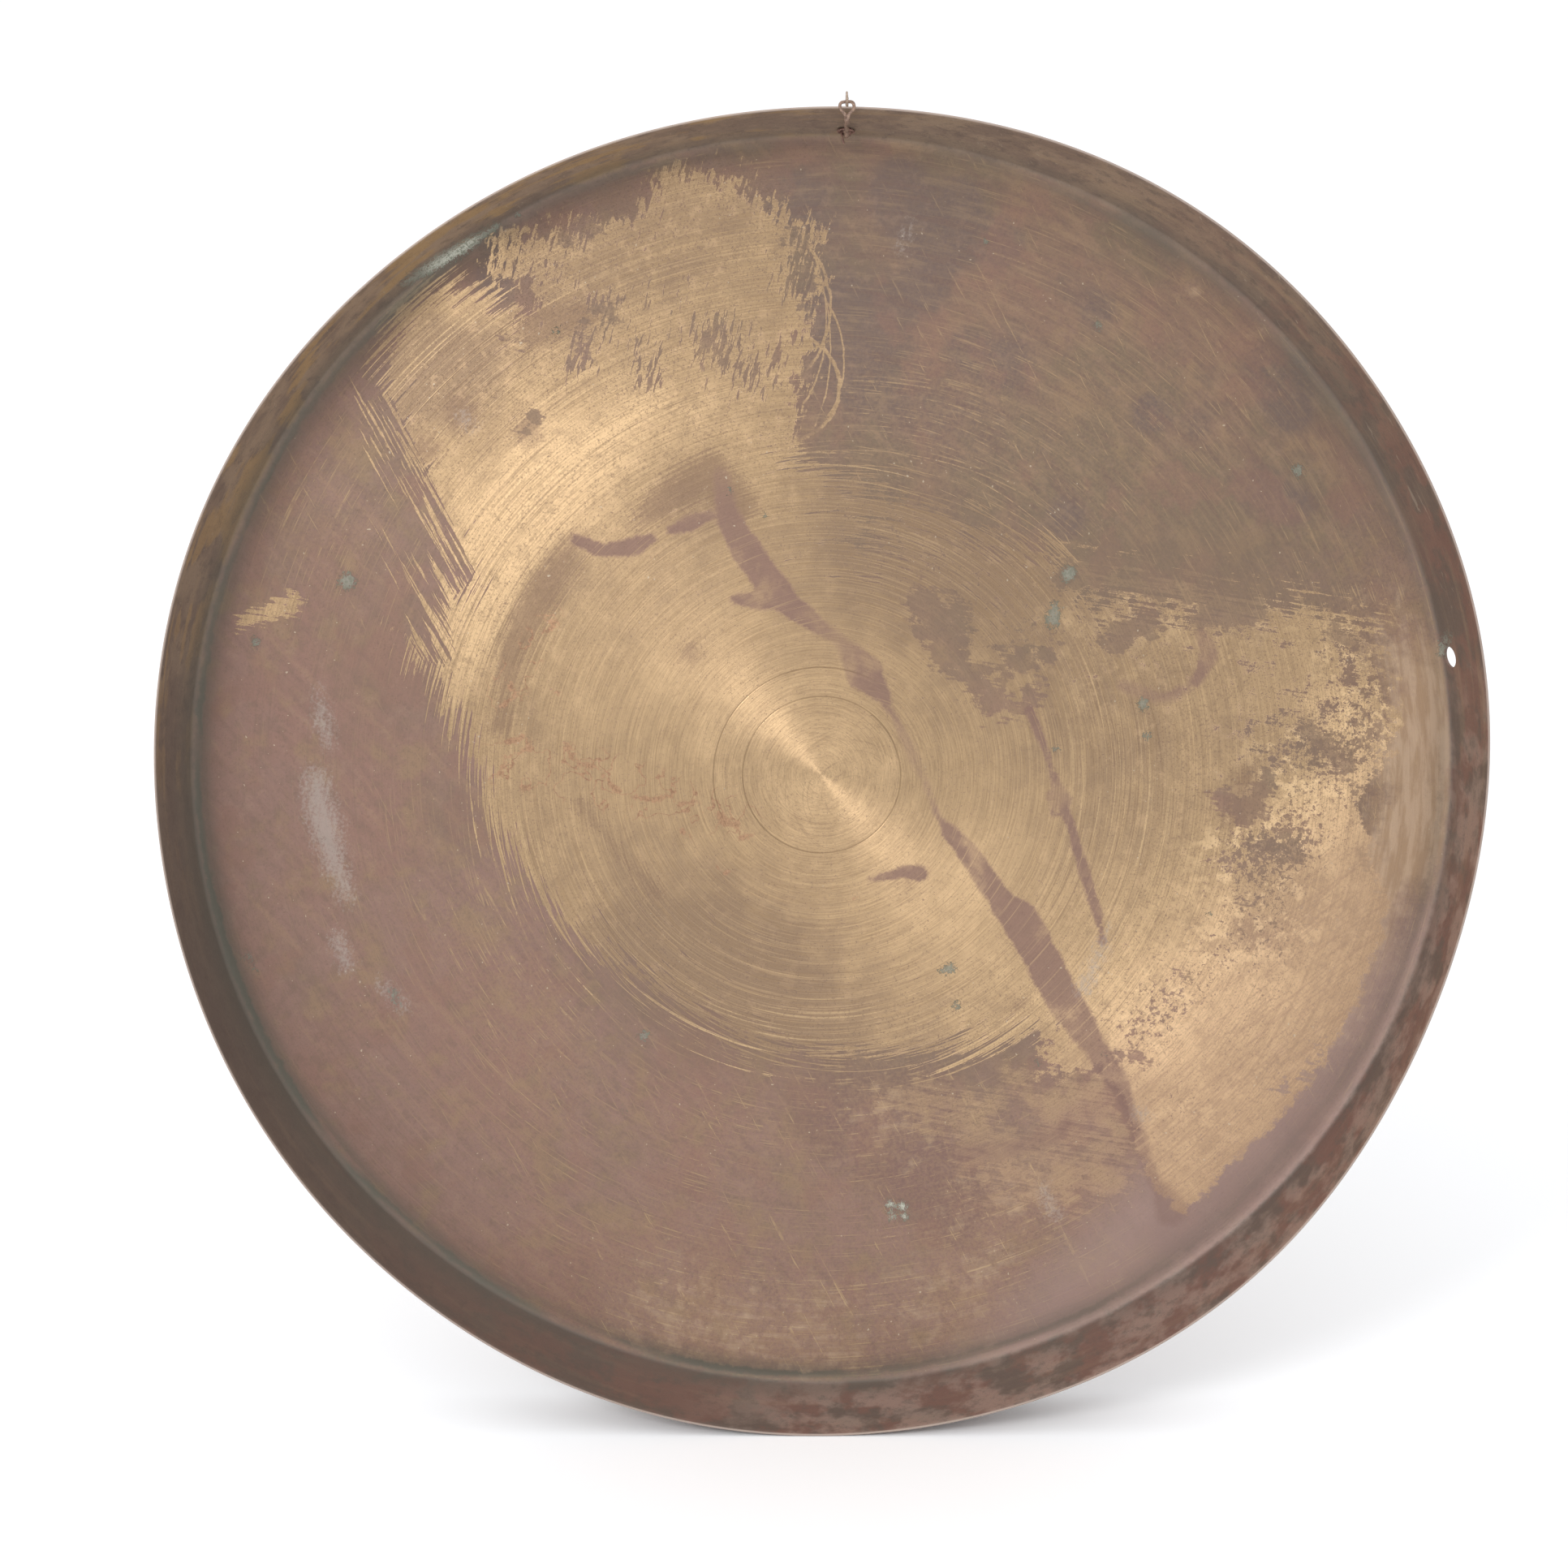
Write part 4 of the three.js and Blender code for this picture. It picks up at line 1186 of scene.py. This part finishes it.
def build_ring():
    """The small ring, wound one and a quarter turns so that its ends lie side by side."""
    low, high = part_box("hook_ring")
    centre = TIPPED.inverted() @ ((low + high) / 2) / MM
    bends = []
    for k in range(RING_BENDS):
        turn = math.radians(RING_START + k * RING_STEP)
        x = centre.x - RING_HALF_SHIFT + 2 * RING_HALF_SHIFT * k / (RING_BENDS - 1)
        bends.append((x, centre.y + RING_RADIUS * math.cos(turn), centre.z + RING_RADIUS * math.sin(turn)))
    ring = tube("ring", smooth_route(bends, 4), RING_WIRE_RADIUS, sides=12, seed=9)
    return add_joined("stand_ring", [ring])


# ---------------------------------------------------------------- stage, light and camera, in metres

FLOOR_REACH = 60.0
FLOOR_COLOUR = (0.97, 0.98, 1.0, 1)
FLOOR_ROUGHNESS = 0.5
SKY_STRENGTH = 0.82
KEY_PLACE = (-1.5, -2.2, 1.5)
KEY_SIZE = 1.0
KEY_POWER = 32
OVERHEAD_STRENGTH = 1.0
OVERHEAD_SPREAD = math.radians(110)
OVERHEAD_TIP = math.radians(10)
VIEW_ABOVE_AXIS = math.radians(8.5)
VIEW_DISTANCE = 1.5
SENSOR_WIDTH = 36
FOCAL_LENGTH = 76.8
VIEW_SHIFT = (-0.024, 0.0035)


def build_stage():
    floor_z = cad_box[0].z
    sides = [(-FLOOR_REACH, -FLOOR_REACH), (FLOOR_REACH, -FLOOR_REACH),
             (FLOOR_REACH, FLOOR_REACH), (-FLOOR_REACH, FLOOR_REACH)]
    mesh = bpy.data.meshes.new("floor")
    mesh.from_pydata([(x, y, floor_z) for x, y in sides], [], [(0, 1, 2, 3)])
    floor = add_object("floor", mesh, tipped=False)
    g = Graph("pale_floor")
    shader = g.node("ShaderNodeBsdfPrincipled")
    shader.inputs["Base Color"].default_value = FLOOR_COLOUR
    shader.inputs["Roughness"].default_value = FLOOR_ROUGHNESS
    g.plug(g.node("ShaderNodeOutputMaterial").inputs[0], shader.outputs[0])
    floor.data.materials.append(g.material)


def add_light(name, kind):
    lamp = bpy.data.objects.new(name, bpy.data.lights.new(name, kind))
    bpy.context.scene.collection.objects.link(lamp)
    return lamp


def build_light():
    world = bpy.data.worlds.new("studio")
    world.use_nodes = True
    world.node_tree.nodes["Background"].inputs[0].default_value = (1, 1, 1, 1)
    world.node_tree.nodes["Background"].inputs[1].default_value = SKY_STRENGTH
    bpy.context.scene.world = world
    bpy.context.scene.view_settings.view_transform = "Standard"
    key = add_light("key", "AREA")
    key.data.shape = "DISK"
    key.data.size = KEY_SIZE
    key.data.energy = KEY_POWER
    key.location = KEY_PLACE
    key.rotation_euler = (-Vector(KEY_PLACE)).to_track_quat("-Z", "Y").to_euler()
    overhead = add_light("overhead", "SUN")
    overhead.data.energy = OVERHEAD_STRENGTH
    overhead.data.angle = OVERHEAD_SPREAD
    overhead.rotation_euler = (OVERHEAD_TIP, 0, 0)


def build_camera():
    """The photograph's view, from above the dish's own axis and looking at the middle of its rim."""
    rim_centre = TIPPED @ Vector((0, -DEPTH * MM, 0))
    back = TIPPED.to_3x3() @ Vector((0, -math.cos(VIEW_ABOVE_AXIS), math.sin(VIEW_ABOVE_AXIS)))
    camera = bpy.data.objects.new("camera", bpy.data.cameras.new("camera"))
    camera.data.sensor_width = SENSOR_WIDTH
    camera.data.lens = FOCAL_LENGTH
    camera.data.shift_x, camera.data.shift_y = VIEW_SHIFT
    camera.location = rim_centre + back * VIEW_DISTANCE
    camera.rotation_euler = back.to_track_quat("Z", "Y").to_euler()
    bpy.context.scene.collection.objects.link(camera)
    bpy.context.scene.camera = camera


# ---------------------------------------------------------------- put together

build_camera()
build_stage()
build_light()

dish = build_dish()
paint_wear(dish)
dish.data.transform(TIPPED)
iron = wire_material("rusted_iron", IRON_TONES, 0.7)
copper = wire_material("copper_wire", TARNISH_TONES, 0.6)
ring_iron = wire_material("ring_iron", RING_TONES, 0.65)
finishes = [
    (dish, "gong", "gong_disc", "aged_bronze", bronze_material()),
    (build_hanger(), "hanger", "hanger_wire", "rusted_iron", iron),
    (build_binding(), "hanger", "binding_wire", "copper_wire", copper),
    (build_ring(), "hook", "hook_ring", "ring_iron", ring_iron),
]
for piece, body, node, slot, material in finishes:
    piece.data.materials.clear()
    piece.data.materials.append(material)
    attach(piece, body)
    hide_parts(node)
